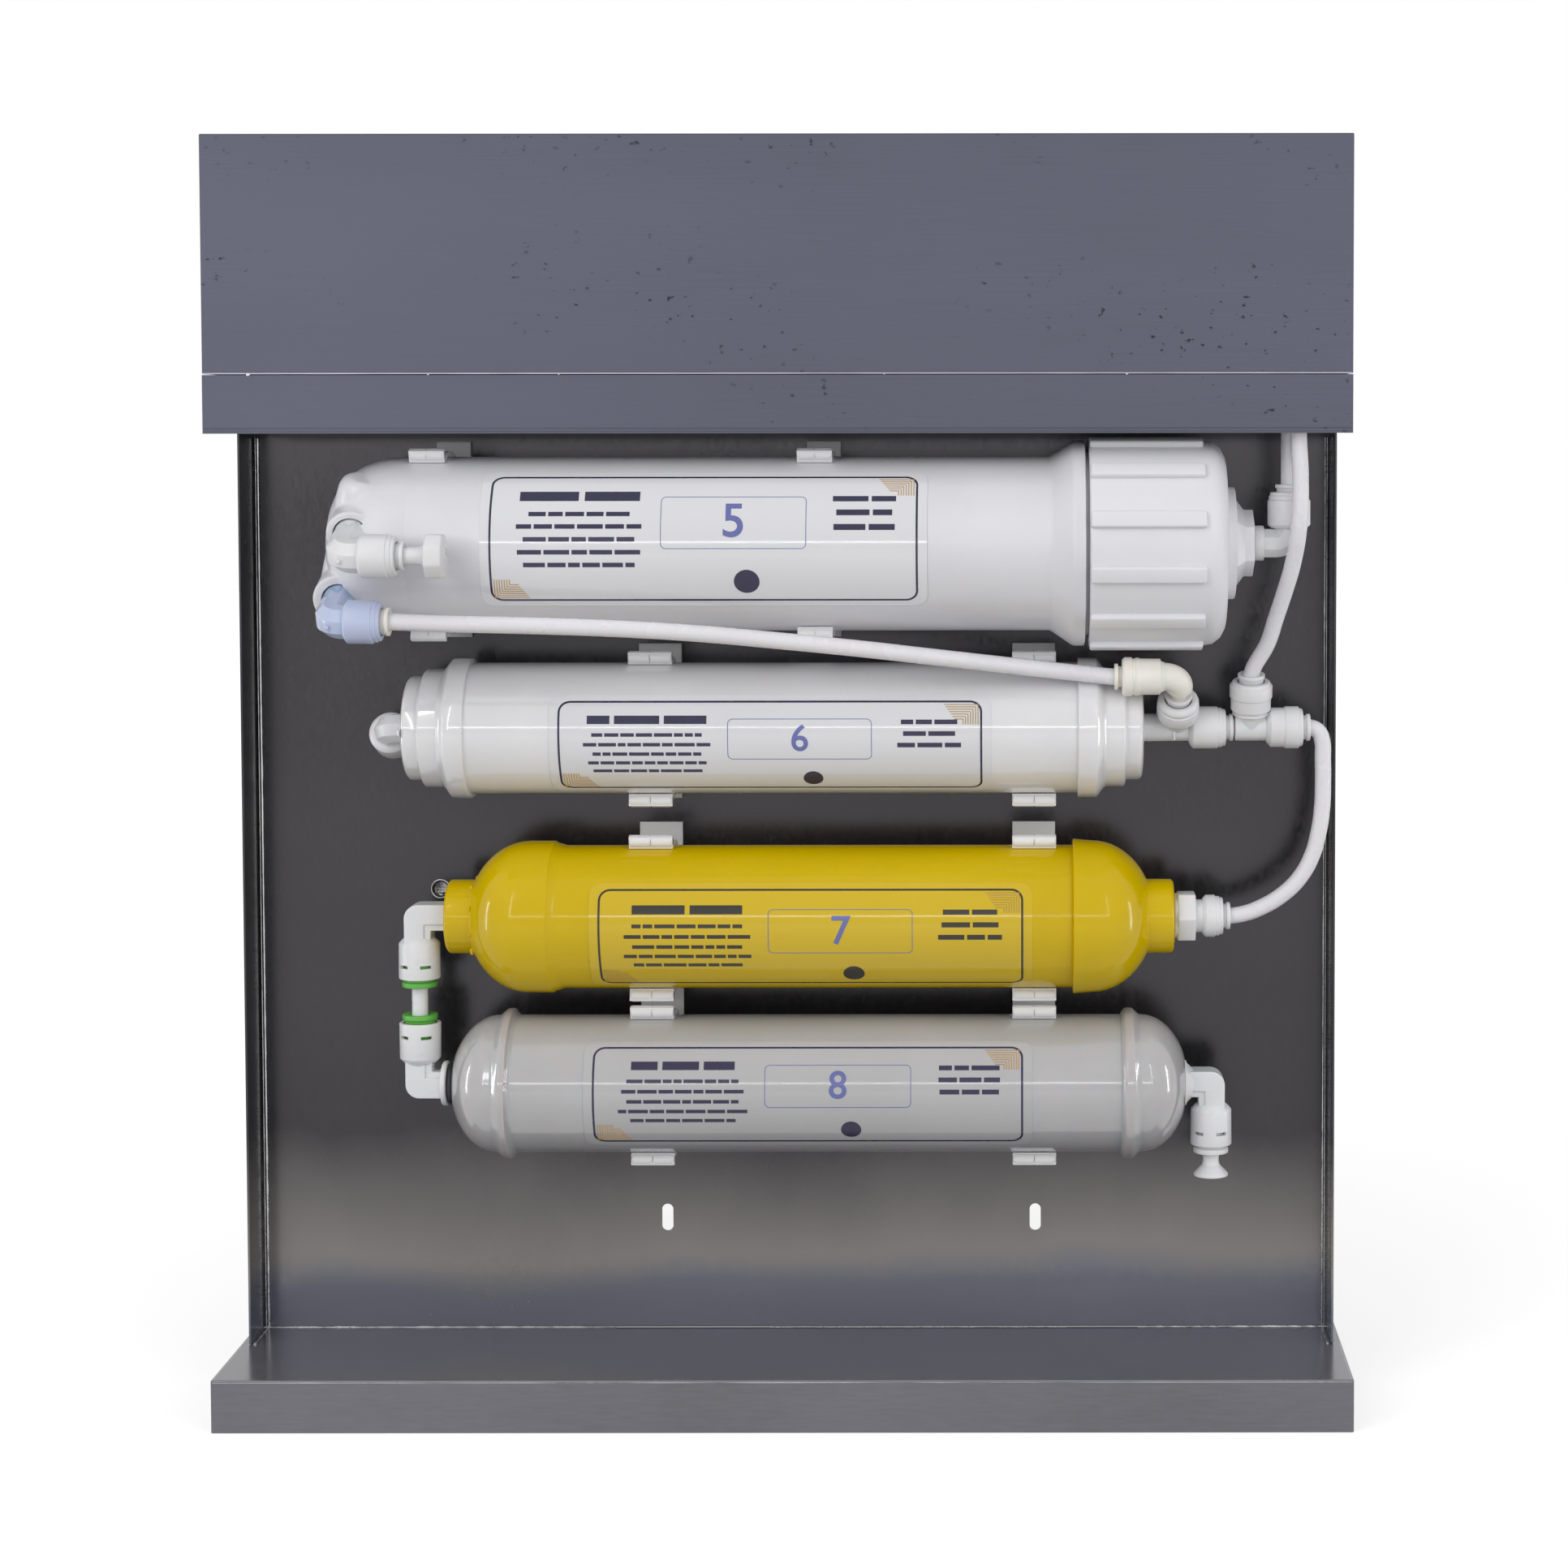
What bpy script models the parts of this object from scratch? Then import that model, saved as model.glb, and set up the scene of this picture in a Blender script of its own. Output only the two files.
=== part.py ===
"""Water purifier: a sheet-steel chassis that carries a membrane housing and three inline cartridges.

Units are metres, +Z is up and the open front faces -Y. The origin is the middle of the footprint.
A place is given as (x, depth, z): depth runs forward from the front face of the back panel.
"""

import math

import bmesh
import bpy
from mathutils import Matrix, Vector

MM = 0.001

# Shared fits
GAP = 0.3 * MM
OVERRUN = 3.0 * MM

# Counts of sides, steps and repeats
FILTER_SIDES = 24
FITTING_SIDES = 12
TUBE_SIDE_STEPS = 3
DOME_STEPS = 5
CAVITY_STEPS = 3
RING_STEPS = 5
BEND_STEPS = 3
CLIP_STEPS = 8
RIB_COUNT = 12

# Sheet-metal chassis
SHEET = 1.0 * MM
BASE_MARGIN = 2.0 * MM
BASE_LIP = 20.5 * MM
FRONT_DEPTH = 71.0 * MM
REAR_DEPTH = 74.0 * MM
WALL_DEPTH = 24.0 * MM
HOOD_WIDTH = 432.0 * MM
HALF_WIDTH = HOOD_WIDTH / 2
BASE_WIDTH = HOOD_WIDTH + 2 * BASE_MARGIN
WALL_SPACING = HOOD_WIDTH - 4 * SHEET - 2 * GAP
TRAY_TOP = 403.0 * MM
TRAY_LIP = 22.0 * MM
HEM_HEIGHT = 2.8 * MM
HEM_THICKNESS = 2.2 * MM
HOOD_HEIGHT = 90.0 * MM
GUIDE_HEIGHT = 7.0 * MM
GUIDE_LENGTH = 90.0 * MM

# Panel openings
SLOT_WIDTH = 4.6 * MM
SLOT_LENGTH = 11.0 * MM
SLOT_INSETS = (164.8 * MM, 119.2 * MM)
SLOT_X = (SLOT_INSETS[0] - HALF_WIDTH, HALF_WIDTH - SLOT_INSETS[1])
SLOT_Z = 65.4 * MM
SPARE_HOLE_RADIUS = 3.6 * MM
SPARE_HOLE_INSET = 74.7 * MM
SPARE_HOLE_X = SPARE_HOLE_INSET - HALF_WIDTH
SPARE_HOLE_Z = 198.6 * MM

# Push-fit fittings
TUBE_RADIUS = 3.175 * MM
ARM_RADIUS = 5.2 * MM
WATERWAY_RADIUS = 2.3 * MM
THREAD_RADIUS = 5.6 * MM
THREAD_LENGTH = 9.0 * MM
SOCKET_RADIUS = 8.2 * MM
SOCKET_LENGTH = 13.8 * MM
SOCKET_EDGE = 0.8 * MM
SOCKET_WALL = 2.9 * MM
SOCKET_BORE_DEPTH = 11.5 * MM
BEND_RADIUS = 5.6 * MM
COLLET_FLANGE_RADIUS = 5.3 * MM
COLLET_FLANGE = 1.3 * MM
COLLET_TRAVEL = 1.2 * MM
COLLET_SLEEVE = 6.5 * MM
COLLET_REACH = COLLET_TRAVEL + GAP + COLLET_FLANGE
TUBE_INSERTION = 10.5 * MM

# Clipped quick-connect fittings
QUICK_SOCKET_RADIUS = 7.95 * MM
QUICK_SOCKET_LENGTH = 15.6 * MM
QUICK_FLANGE_RADIUS = 6.85 * MM
QUICK_FLANGE = 1.7 * MM
QUICK_ARM_REACH = 8.6 * MM

# Membrane housing
MEMBRANE_DEPTH = 47.0 * MM
MEMBRANE_Z = 338.7 * MM
MEMBRANE_RADIUS = 33.35 * MM
MEMBRANE_WALL = 4.0 * MM
MEMBRANE_DOME_INSET = 75.0 * MM
MEMBRANE_DOME_X = MEMBRANE_DOME_INSET - HALF_WIDTH
MEMBRANE_DOME_LENGTH = 33.0 * MM
COLLAR_END_INSET = 100.0 * MM
COLLAR_LENGTH = 14.0 * MM
COLLAR_END_X = HALF_WIDTH - COLLAR_END_INSET
COLLAR_START_X = COLLAR_END_X - COLLAR_LENGTH
COLLAR_SLOPE = 9.0 * MM
COLLAR_RADIUS = 39.3 * MM
SPIGOT_LENGTH = 22.0 * MM
SPIGOT_RADIUS = 35.2 * MM
MANIFOLD_ROLL_DEG = 20.0
COLUMN_RADIUS = 10.5 * MM
COLUMN_TOP = 22.0 * MM
COLUMN_FORWARD = 6.0 * MM
BOSS_RISE = 13.3 * MM
BOSS_REACH = 25.0 * MM
BOSS_RADII = (9.6 * MM, 10.4 * MM)
BOSS_INSETS = (56.1 * MM, 49.7 * MM)
BOSS_X = (BOSS_INSETS[0] - HALF_WIDTH, BOSS_INSETS[1] - HALF_WIDTH)
BOSS_BORE_DEPTH = 12.0 * MM

# Membrane cap
CAP_GAP = 1.0 * MM
CAP_LENGTH = 52.0 * MM
CAP_RADIUS = 39.2 * MM
CAP_WALL = 3.3 * MM
CAP_ROUNDING = 6.0 * MM
RIB_HEIGHT = 2.2 * MM
RIB_LENGTH = 43.5 * MM
RIB_WIDTH_DEG = 9.0
RIB_FLANK_DEG = 1.2
CAP_RING_RADIUS = 21.5 * MM
CAP_RING_LENGTH = 4.0 * MM
CAP_GUSSET_RADIUS = 15.5 * MM
CAP_HEX_RADIUS = 11.5 * MM
CAP_HEX_LENGTH = 7.0 * MM
SEAL_RADIUS = 1.3 * MM
ELEMENT_RADIUS = 23.0 * MM
ELEMENT_INSET = 29.0 * MM
ELEMENT_CORE_RADIUS = 8.5 * MM
ELEMENT_CORE_LENGTH = 14.0 * MM
ELEMENT_SEAL_WIDTH = 8.0 * MM

# Post-carbon cartridge
CARBON_DEPTH = 32.0 * MM
CARBON_Z = 266.3 * MM
CARBON_INSETS = (68.8 * MM, 77.6 * MM)
CARBON_LEFT_X = CARBON_INSETS[0] - HALF_WIDTH
CARBON_RIGHT_X = HALF_WIDTH - CARBON_INSETS[1]
CARBON_RADIUS = 25.5 * MM
CARBON_FLANGE_RADIUS = 27.3 * MM
CARBON_FLANGE = 7.3 * MM
CARBON_SLOPE = 3.5 * MM
CARBON_STEP_RADIUS = 23.0 * MM
CARBON_STEP = 8.0 * MM
CARBON_NOSE_RADIUS = 20.3 * MM
CARBON_NOSE = 6.4 * MM
CARBON_NOSE_EDGE = 1.6 * MM

# Mineral cartridge
MINERAL_DEPTH = 32.3 * MM
MINERAL_Z = 192.5 * MM
MINERAL_INSETS = (83.8 * MM, 65.4 * MM)
MINERAL_LEFT_X = MINERAL_INSETS[0] - HALF_WIDTH
MINERAL_RIGHT_X = HALF_WIDTH - MINERAL_INSETS[1]
MINERAL_RADIUS = 27.75 * MM
MINERAL_DOME_RADIUS = 29.5 * MM
MINERAL_DOME_LENGTH = 21.4 * MM
MINERAL_SHOULDER = 10.0 * MM
MINERAL_STEP = 3.5 * MM
MINERAL_RIM = 7.5 * MM
MINERAL_RIM_FLARE = 0.7 * MM
MINERAL_PORT_RADIUS = 14.4 * MM
MINERAL_PORT_LENGTH = 10.5 * MM

# Oxygen cartridge
OXYGEN_DEPTH = 32.3 * MM
OXYGEN_Z = 126.8 * MM
OXYGEN_INSETS = (86.0 * MM, 61.2 * MM)
OXYGEN_LEFT_X = OXYGEN_INSETS[0] - HALF_WIDTH
OXYGEN_RIGHT_X = HALF_WIDTH - OXYGEN_INSETS[1]
OXYGEN_RADIUS = 26.65 * MM
OXYGEN_END_LENGTH = 17.0 * MM
OXYGEN_FACE_RADIUS = 11.5 * MM
OXYGEN_BULGE_RADIUS = 29.2 * MM
OXYGEN_BULGE_LENGTH = 7.0 * MM
OXYGEN_BULGE_INSET = 21.5 * MM

# Shared cartridge construction
CARTRIDGE_WALL = 2.4 * MM
END_WALL = 5.0 * MM
PORT_BORE_RADIUS = THREAD_RADIUS + GAP

# Cartridge clips
CLIP_WIDTH = 17.0 * MM
CLIP_THICKNESS = 2.0 * MM
CLIP_PLATE = 2.0 * MM
CLIP_PLATE_RISE = 5.5 * MM
CLIP_FOOT_HALF = 8.0 * MM
CLIP_LIP = 4.8 * MM
CLIP_LIP_DEG = 5.0
CLIP_WRAP_DEG = 103.0
MEMBRANE_CLIP_WRAP_DEG = 112.0
CLIP_PEG_RADIUS = 2.2 * MM
CLIP_PEG_LENGTH = 3.2 * MM
CLIP_INSETS = (163.5 * MM, 119.7 * MM)
CLIP_X = (CLIP_INSETS[0] - HALF_WIDTH, HALF_WIDTH - CLIP_INSETS[1])
MEMBRANE_CLIP_INSETS = (82.0 * MM, 203.0 * MM)
MEMBRANE_CLIP_X = (MEMBRANE_CLIP_INSETS[0] - HALF_WIDTH, HALF_WIDTH - MEMBRANE_CLIP_INSETS[1])

# Elbows and tees
BRINE_REACH = 19.6 * MM
PERMEATE_REACH = 19.4 * MM
BRINE_ARM = 7.0 * MM
PERMEATE_ARM = 5.8 * MM
STEM_ELBOW_INSET = 64.1 * MM
STEM_ELBOW_X = HALF_WIDTH - STEM_ELBOW_INSET
STEM_ELBOW_ARM = 7.1 * MM
STEM_SOCKET_RADIUS = 7.05 * MM
STEM_ELBOW_CLEARANCE = 0.45 * MM
STEM_ELBOW_REACH = CARBON_STEP_RADIUS + STEM_ELBOW_CLEARANCE + STEM_SOCKET_RADIUS
STEM_SOCKET_LENGTH = 15.0 * MM
TEE_TILT_DEG = 45.0
TEE_BRANCH = 3.6 * MM
TEE_SOCKET_INSET = 59.0 * MM
TEE_SOCKET_X = HALF_WIDTH - TEE_SOCKET_INSET
TANK_TEE_INSET = 35.5 * MM
TANK_TEE_X = HALF_WIDTH - TANK_TEE_INSET
TANK_TEE_START_INSET = 41.4 * MM
TANK_TEE_START_X = HALF_WIDTH - TANK_TEE_START_INSET
TANK_TEE_SOCKET_INSET = 29.0 * MM
TANK_TEE_SOCKET_X = HALF_WIDTH - TANK_TEE_SOCKET_INSET
TANK_TEE_BRANCH = 5.2 * MM
TANK_TEE_LEAN_DEG = 14.0
POST_ELBOW_INSET = 60.1 * MM
POST_ELBOW_X = POST_ELBOW_INSET - HALF_WIDTH
POST_ELBOW_ARM = 5.8 * MM
POST_ELBOW_DROP_DEG = 20.0
CAP_ELBOW_REACH = 14.0 * MM
CAP_TIP_X = COLLAR_END_X + CAP_GAP + CAP_LENGTH + CAP_RING_LENGTH + CAP_HEX_LENGTH
CAP_ELBOW_X = CAP_TIP_X + CAP_ELBOW_REACH
CAP_ELBOW_FLANGE_RADIUS = 6.75 * MM
CAP_ELBOW_FLANGE = 3.0 * MM
CAP_ELBOW_ARM = 5.8 * MM
NUT_RADIUS = 10.0 * MM
NUT_LENGTH = 7.8 * MM
NUT_NECK_RADIUS = 6.6 * MM
NUT_NECK = 2.9 * MM
NUT_SOCKET_LENGTH = 7.9 * MM
MINERAL_ELBOW_INSET = 72.1 * MM
MINERAL_ELBOW_X = MINERAL_ELBOW_INSET - HALF_WIDTH
OXYGEN_IN_FLANGE_RADIUS = 8.75 * MM
OXYGEN_IN_FLANGE = 2.2 * MM
OXYGEN_SEAL_RADIUS = 1.15 * MM
OXYGEN_OUT_INSET = 50.5 * MM
OXYGEN_OUT_X = HALF_WIDTH - OXYGEN_OUT_INSET
OXYGEN_OUT_CONE_RADIUS = 8.95 * MM
OXYGEN_OUT_CONE = 3.2 * MM

# Transport plugs
PLUG_HEAD_RADIUS = 8.2 * MM
PLUG_HEAD = 6.7 * MM
PLUG_NECK = 9.6 * MM
DISH_RADIUS = 6.75 * MM
DISH_HEIGHT = 3.0 * MM
DISH_NECK = 5.6 * MM

# Booster pump and tank union under the hood
PUMP_START_INSET = 294.0 * MM
PUMP_START_X = HALF_WIDTH - PUMP_START_INSET
MOTOR_LENGTH = 104.0 * MM
MOTOR_RADIUS = 33.0 * MM
MOTOR_EDGE = 2.5 * MM
PUMP_HEAD_LENGTH = 56.0 * MM
PUMP_HEAD_RADIUS = 38.0 * MM
PUMP_CLEARANCE = 6.0 * MM
PUMP_Z = TRAY_TOP + PUMP_CLEARANCE + PUMP_HEAD_RADIUS
PUMP_FLANGE = 9.0 * MM
PUMP_WAIST_RADIUS = 35.0 * MM
PUMP_PORT_OFFSET = 19.0 * MM
PUMP_PORT_LENGTH = 14.0 * MM
PUMP_FOOT_WIDTH = 70.0 * MM
PUMP_FOOT_LENGTH = 60.0 * MM
PUMP_FOOT_THICKNESS = 3.0 * MM
PUMP_SADDLE_WIDTH = 34.0 * MM
UNION_INSET = 21.0 * MM
UNION_X = HALF_WIDTH - UNION_INSET
UNION_DEPTH = -36.5 * MM
UNION_BODY_RADIUS = 6.0 * MM
UNION_COLLAR_RADIUS = 9.5 * MM
UNION_COLLAR = 4.0 * MM
UNION_SOCKET_LENGTH = 14.0 * MM
TUBE_HOLE_RADIUS = 5.0 * MM
FEED_HOLE_PLACE = (CAP_ELBOW_X, MEMBRANE_DEPTH)
TANK_HOLE_INSET = 20.0 * MM
TANK_HOLE_PLACE = (HALF_WIDTH - TANK_HOLE_INSET, 61.5 * MM)

# Placement worked out from the sizes above
BOSS_TURN = math.radians(MANIFOLD_ROLL_DEG)
BRINE_CORNER_DEPTH = (MEMBRANE_DEPTH + BOSS_RISE * math.sin(BOSS_TURN)
                      + (BOSS_REACH + BRINE_REACH) * math.cos(BOSS_TURN))
FRONT_REACH = BRINE_CORNER_DEPTH + SOCKET_RADIUS
PANEL_Y = (FRONT_REACH - REAR_DEPTH) / 2
BASE_TOP = BASE_LIP
HOOD_TOP = TRAY_TOP + HOOD_HEIGHT

RIGHT = Vector((1, 0, 0))
FORWARD = Vector((0, -1, 0))
UP = Vector((0, 0, 1))
ROUND, HEX, RIBBED = "round", "hex", "ribbed"


def place(x, depth, z):
    """World point from a distance across, forward of the back panel and above the floor."""
    return Vector((x, PANEL_Y - depth, z))


def clear_scene():
    for existing in list(bpy.data.objects):
        bpy.data.objects.remove(existing, do_unlink=True)


def material(name, colour, roughness, metallic=0.0):
    made = bpy.data.materials.new(name)
    made.use_nodes = True
    shader = made.node_tree.nodes["Principled BSDF"]
    shader.inputs["Base Color"].default_value = (*colour, 1.0)
    shader.inputs["Roughness"].default_value = roughness
    shader.inputs["Metallic"].default_value = metallic
    return made


def make_materials():
    return {
        "steel": material("brushed_steel", (0.42, 0.44, 0.50), 0.32, 1.0),
        "white": material("white_plastic", (0.86, 0.86, 0.87), 0.30),
        "fitting": material("fitting_plastic", (0.88, 0.88, 0.88), 0.28),
        "cream": material("cream_plastic", (0.84, 0.81, 0.72), 0.35),
        "blue": material("blue_plastic", (0.50, 0.64, 0.86), 0.25),
        "green": material("green_plastic", (0.10, 0.62, 0.14), 0.35),
        "yellow": material("yellow_plastic", (0.88, 0.68, 0.01), 0.22),
        "milky": material("milky_plastic", (0.74, 0.73, 0.74), 0.25),
        "tube": material("tube_plastic", (0.90, 0.90, 0.91), 0.30),
        "rubber": material("black_rubber", (0.02, 0.02, 0.02), 0.60),
        "carbon": material("carbon_granules", (0.03, 0.03, 0.03), 0.90),
        "ceramic": material("ceramic_balls", (0.55, 0.50, 0.44), 0.80),
        "film": material("membrane_film", (0.60, 0.66, 0.72), 0.45),
        "motor": material("motor_case", (0.10, 0.10, 0.11), 0.40, 0.6),
        "head": material("pump_head", (0.12, 0.14, 0.18), 0.45),
    }


def add_object(name, bm, centre=None, turn=None, finish=None):
    """Turn a bmesh into a named object placed at centre, with its faces pointing out."""
    bmesh.ops.recalc_face_normals(bm, faces=bm.faces)
    mesh = bpy.data.meshes.new(name)
    bm.to_mesh(mesh)
    bm.free()
    mesh.shade_smooth()
    mesh.set_sharp_from_angle(angle=math.radians(35))
    made = bpy.data.objects.new(name, mesh)
    made.matrix_world = Matrix.Translation(centre or Vector()) @ (turn or Matrix.Identity(4))
    bpy.context.scene.collection.objects.link(made)
    if finish:
        mesh.materials.append(finish)
    return made


def box_mesh(low, high, bm=None):
    """Axis-aligned box between two corners."""
    bm = bm or bmesh.new()
    size = high - low
    middle = (high + low) / 2
    bmesh.ops.create_cube(bm, size=1, matrix=Matrix.Translation(middle) @ Matrix.Diagonal((*size, 1)))
    return bm


def hide_guide(guide):
    guide.hide_render = True
    guide.display_type = "WIRE"


def add_boolean(target, tool, operation):
    change = target.modifiers.new(tool.name, "BOOLEAN")
    change.operation = operation
    change.object = tool
    hide_guide(tool)


def facing(direction, side_hint=None):
    """Turn that carries local +X onto direction, with local +Z as near the hint as it can be."""
    along = direction.normalized()
    hint = side_hint or (UP if abs(along.dot(UP)) < 0.9 else FORWARD)
    side = hint.cross(along).normalized()
    top = along.cross(side)
    return Matrix((along, side, top)).transposed().to_4x4()


def ring_radius(radius, shape, angle, index):
    """Distance of a ring's point from its middle: round, a hexagon, or the cap's raised ribs."""
    if shape == HEX:
        sector = math.radians(60)
        return radius / math.cos((angle % sector) - sector / 2)
    if shape == RIBBED:
        return radius + (RIB_HEIGHT if index % 4 in (1, 2) else 0)
    return radius


def ring_angles(shape_set, sides):
    """Angles of a ring's points; a ribbed solid takes four for each rib, at its foot and crest."""
    if RIBBED not in shape_set:
        return [2 * math.pi * step / sides for step in range(sides)]
    half = math.radians(RIB_WIDTH_DEG) / 2
    flank = math.radians(RIB_FLANK_DEG)
    spots = (-half - flank, -half, half, half + flank)
    pitch = 2 * math.pi / RIB_COUNT
    return [pitch * (rib + 0.5) + spot for rib in range(RIB_COUNT) for spot in spots]


def ring_solid(name, rings, closed, sides, finish=None, centre=None, turn=None):
    """Skin a chain of rings, each (middle, along, side, radius, shape); radius 0 is a pole.

    A closed chain goes out along the outer wall and back along the bore.
    """
    bm = bmesh.new()
    angles = ring_angles({ring[4] for ring in rings}, sides)
    loops = []
    for middle, along, side, radius, shape in rings:
        if radius == 0:
            loops.append([bm.verts.new(middle)])
            continue
        top = along.cross(side)
        loop = []
        for index, angle in enumerate(angles):
            reach = ring_radius(radius, shape, angle, index)
            loop.append(bm.verts.new(middle + reach * (math.cos(angle) * side + math.sin(angle) * top)))
        loops.append(loop)
    pairs = list(zip(loops, loops[1:]))
    if closed:
        pairs.append((loops[-1], loops[0]))
    for first, second in pairs:
        skin_between(bm, first, second)
    if not closed:
        for loop in (loops[0], loops[-1]):
            if len(loop) > 1:
                bm.faces.new(loop)
    return add_object(name, bm, centre, turn, finish)


def skin_between(bm, first, second):
    """Join two rings of points, or a ring and a pole, with faces."""
    count = max(len(first), len(second))
    for index in range(count):
        after = (index + 1) % count
        if len(first) == 1:
            bm.faces.new((first[0], second[index], second[after]))
        elif len(second) == 1:
            bm.faces.new((first[index], second[0], first[after]))
        else:
            bm.faces.new((first[index], first[after], second[after], second[index]))


def turned(name, outline, centre, direction, sides, finish=None, closed=True):
    """Turn an outline of (along, radius) or (along, radius, shape) about a line from centre."""
    side = Vector((0, 1, 0))
    rings = []
    for point in outline:
        shape = point[2] if len(point) > 2 else ROUND
        rings.append((RIGHT * point[0], RIGHT, side, point[1], shape))
    return ring_solid(name, rings, closed, sides, finish, centre, facing(direction))


def bent(name, corner, first_way, second_way, first_outer, second_outer, first_bore, second_bore,
         finish=None, sides=FITTING_SIDES):
    """Elbow swept from its first end round a bend to its second, and back along the bore.

    The outlines are (distance from the corner, radius), the nearest to the corner first.
    """
    side = first_way.cross(second_way).normalized()
    middle = (first_way + second_way) * BEND_RADIUS

    def run(way, outline, heading):
        return [(way * distance, heading, side, radius, ROUND) for distance, radius in outline]

    def bend(radius):
        arc = []
        for step in range(1, BEND_STEPS):
            angle = step / BEND_STEPS * math.pi / 2
            spot = middle - BEND_RADIUS * (second_way * math.cos(angle) + first_way * math.sin(angle))
            heading = second_way * math.sin(angle) - first_way * math.cos(angle)
            arc.append((spot, heading, side, radius, ROUND))
        return arc

    outer = run(first_way, list(reversed(first_outer)), -first_way)
    outer += bend(ARM_RADIUS)
    outer += run(second_way, second_outer, second_way)
    bore = run(second_way, list(reversed(second_bore)), second_way)
    bore += list(reversed(bend(WATERWAY_RADIUS)))
    bore += run(first_way, first_bore, -first_way)
    return ring_solid(name, outer + bore, True, sides, finish, corner)


def socket_outer(start, length, radius, arm=ARM_RADIUS):
    """Outer outline of a push-fit socket from its shoulder to its mouth."""
    return [(start, arm), (start + SOCKET_EDGE, radius), (start + length - SOCKET_EDGE, radius),
            (start + length, radius - SOCKET_EDGE)]


def socket_bore(start, length, radius):
    """Bore of a push-fit socket: the tube's stop, then the wide part that the collet slides in."""
    floor = start + length - SOCKET_BORE_DEPTH
    return [(floor, WATERWAY_RADIUS), (floor, radius - SOCKET_WALL), (start + length, radius - SOCKET_WALL)]


def collet(name, mouth, direction, socket_radius=SOCKET_RADIUS, flange_radius=COLLET_FLANGE_RADIUS,
           flange=COLLET_FLANGE, finish=None):
    """Release collet: a flange outside the socket's mouth and a sleeve that grips the tube."""
    sleeve = socket_radius - SOCKET_WALL - GAP
    bore = TUBE_RADIUS + GAP
    rise = COLLET_TRAVEL + GAP
    outline = [(-COLLET_SLEEVE, sleeve), (rise, sleeve), (rise, flange_radius),
               (rise + flange, flange_radius), (rise + flange, bore), (-COLLET_SLEEVE, bore)]
    return turned(name, outline, mouth, direction, FITTING_SIDES, finish)


def tube(name, points, finish):
    """Tube of the shared diameter along a smooth curve through its points, with closed ends."""
    smooth = smooth_route(points)
    curve = bpy.data.curves.new(name, "CURVE")
    curve.dimensions = "3D"
    curve.bevel_depth = TUBE_RADIUS
    curve.bevel_resolution = TUBE_SIDE_STEPS
    curve.use_fill_caps = True
    line = curve.splines.new("POLY")
    line.points.add(len(smooth) - 1)
    for spot, point in zip(smooth, line.points):
        point.co = (*spot, 1)
    curve.materials.append(finish)
    made = bpy.data.objects.new(name, curve)
    bpy.context.scene.collection.objects.link(made)
    return made


def smooth_route(points, spacing=4 * TUBE_RADIUS):
    """Points about spacing apart on a smooth curve through the route's own points."""
    smooth = [points[0]]
    padded = [points[0]] + list(points) + [points[-1]]
    for index in range(1, len(padded) - 2):
        before, start, end, after = padded[index - 1:index + 3]
        steps = max(1, round((end - start).length / spacing))
        for step in range(1, steps + 1):
            share = step / steps
            smooth.append(0.5 * (2 * start + (end - before) * share
                                 + (2 * before - 5 * start + 4 * end - after) * share ** 2
                                 + (3 * start - before - 3 * end + after) * share ** 3))
    return smooth


def panel_cutters():
    """One guide that holds the panel's slots, spare hole and clip holes as separate solids."""
    bm = bmesh.new()
    front, back = PANEL_Y - OVERRUN, PANEL_Y + SHEET + OVERRUN
    sides = FITTING_SIDES

    def through(x, z, radius, length=0):
        half = max(length / 2 - radius, 0)
        loop = []
        for index in range(sides):
            angle = 2 * math.pi * (index + 0.5) / sides
            lift = half if math.sin(angle) > 0 else -half
            loop.append(bm.verts.new((x + radius * math.cos(angle), front,
                                      z + lift + radius * math.sin(angle))))
        face = bm.faces.new(loop)
        pushed = bmesh.ops.extrude_face_region(bm, geom=[face])
        moved = [item for item in pushed["geom"] if isinstance(item, bmesh.types.BMVert)]
        bmesh.ops.translate(bm, vec=(0, back - front, 0), verts=moved)

    for x in SLOT_X:
        through(x, SLOT_Z, SLOT_WIDTH / 2, SLOT_LENGTH)
    through(SPARE_HOLE_X, SPARE_HOLE_Z, SPARE_HOLE_RADIUS)
    for x, z in clip_places():
        through(x, z, CLIP_PEG_RADIUS + GAP)
    return add_object("panel_holes", bm)


def clip_places():
    spots = [(x, MEMBRANE_Z) for x in MEMBRANE_CLIP_X]
    for z in (CARBON_Z, MINERAL_Z, OXYGEN_Z):
        spots += [(x, z) for x in CLIP_X]
    return spots


def make_back_panel(finish):
    """Web with side walls folded forward, as one sheet."""
    outer = WALL_SPACING / 2 + SHEET
    low = BASE_TOP + GAP
    high = TRAY_TOP - SHEET - GAP
    bm = bmesh.new()
    corners = [(-outer, -SHEET), (outer, -SHEET), (outer, WALL_DEPTH), (outer - SHEET, WALL_DEPTH),
               (outer - SHEET, 0), (SHEET - outer, 0), (SHEET - outer, WALL_DEPTH), (-outer, WALL_DEPTH)]
    face = bm.faces.new([bm.verts.new(place(x, depth, low)) for x, depth in corners])
    pushed = bmesh.ops.extrude_face_region(bm, geom=[face])
    moved = [item for item in pushed["geom"] if isinstance(item, bmesh.types.BMVert)]
    bmesh.ops.translate(bm, vec=(0, 0, high - low), verts=moved)
    panel = add_object("back_panel", bm, finish=finish)
    add_boolean(panel, panel_cutters(), "DIFFERENCE")
    return panel


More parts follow.
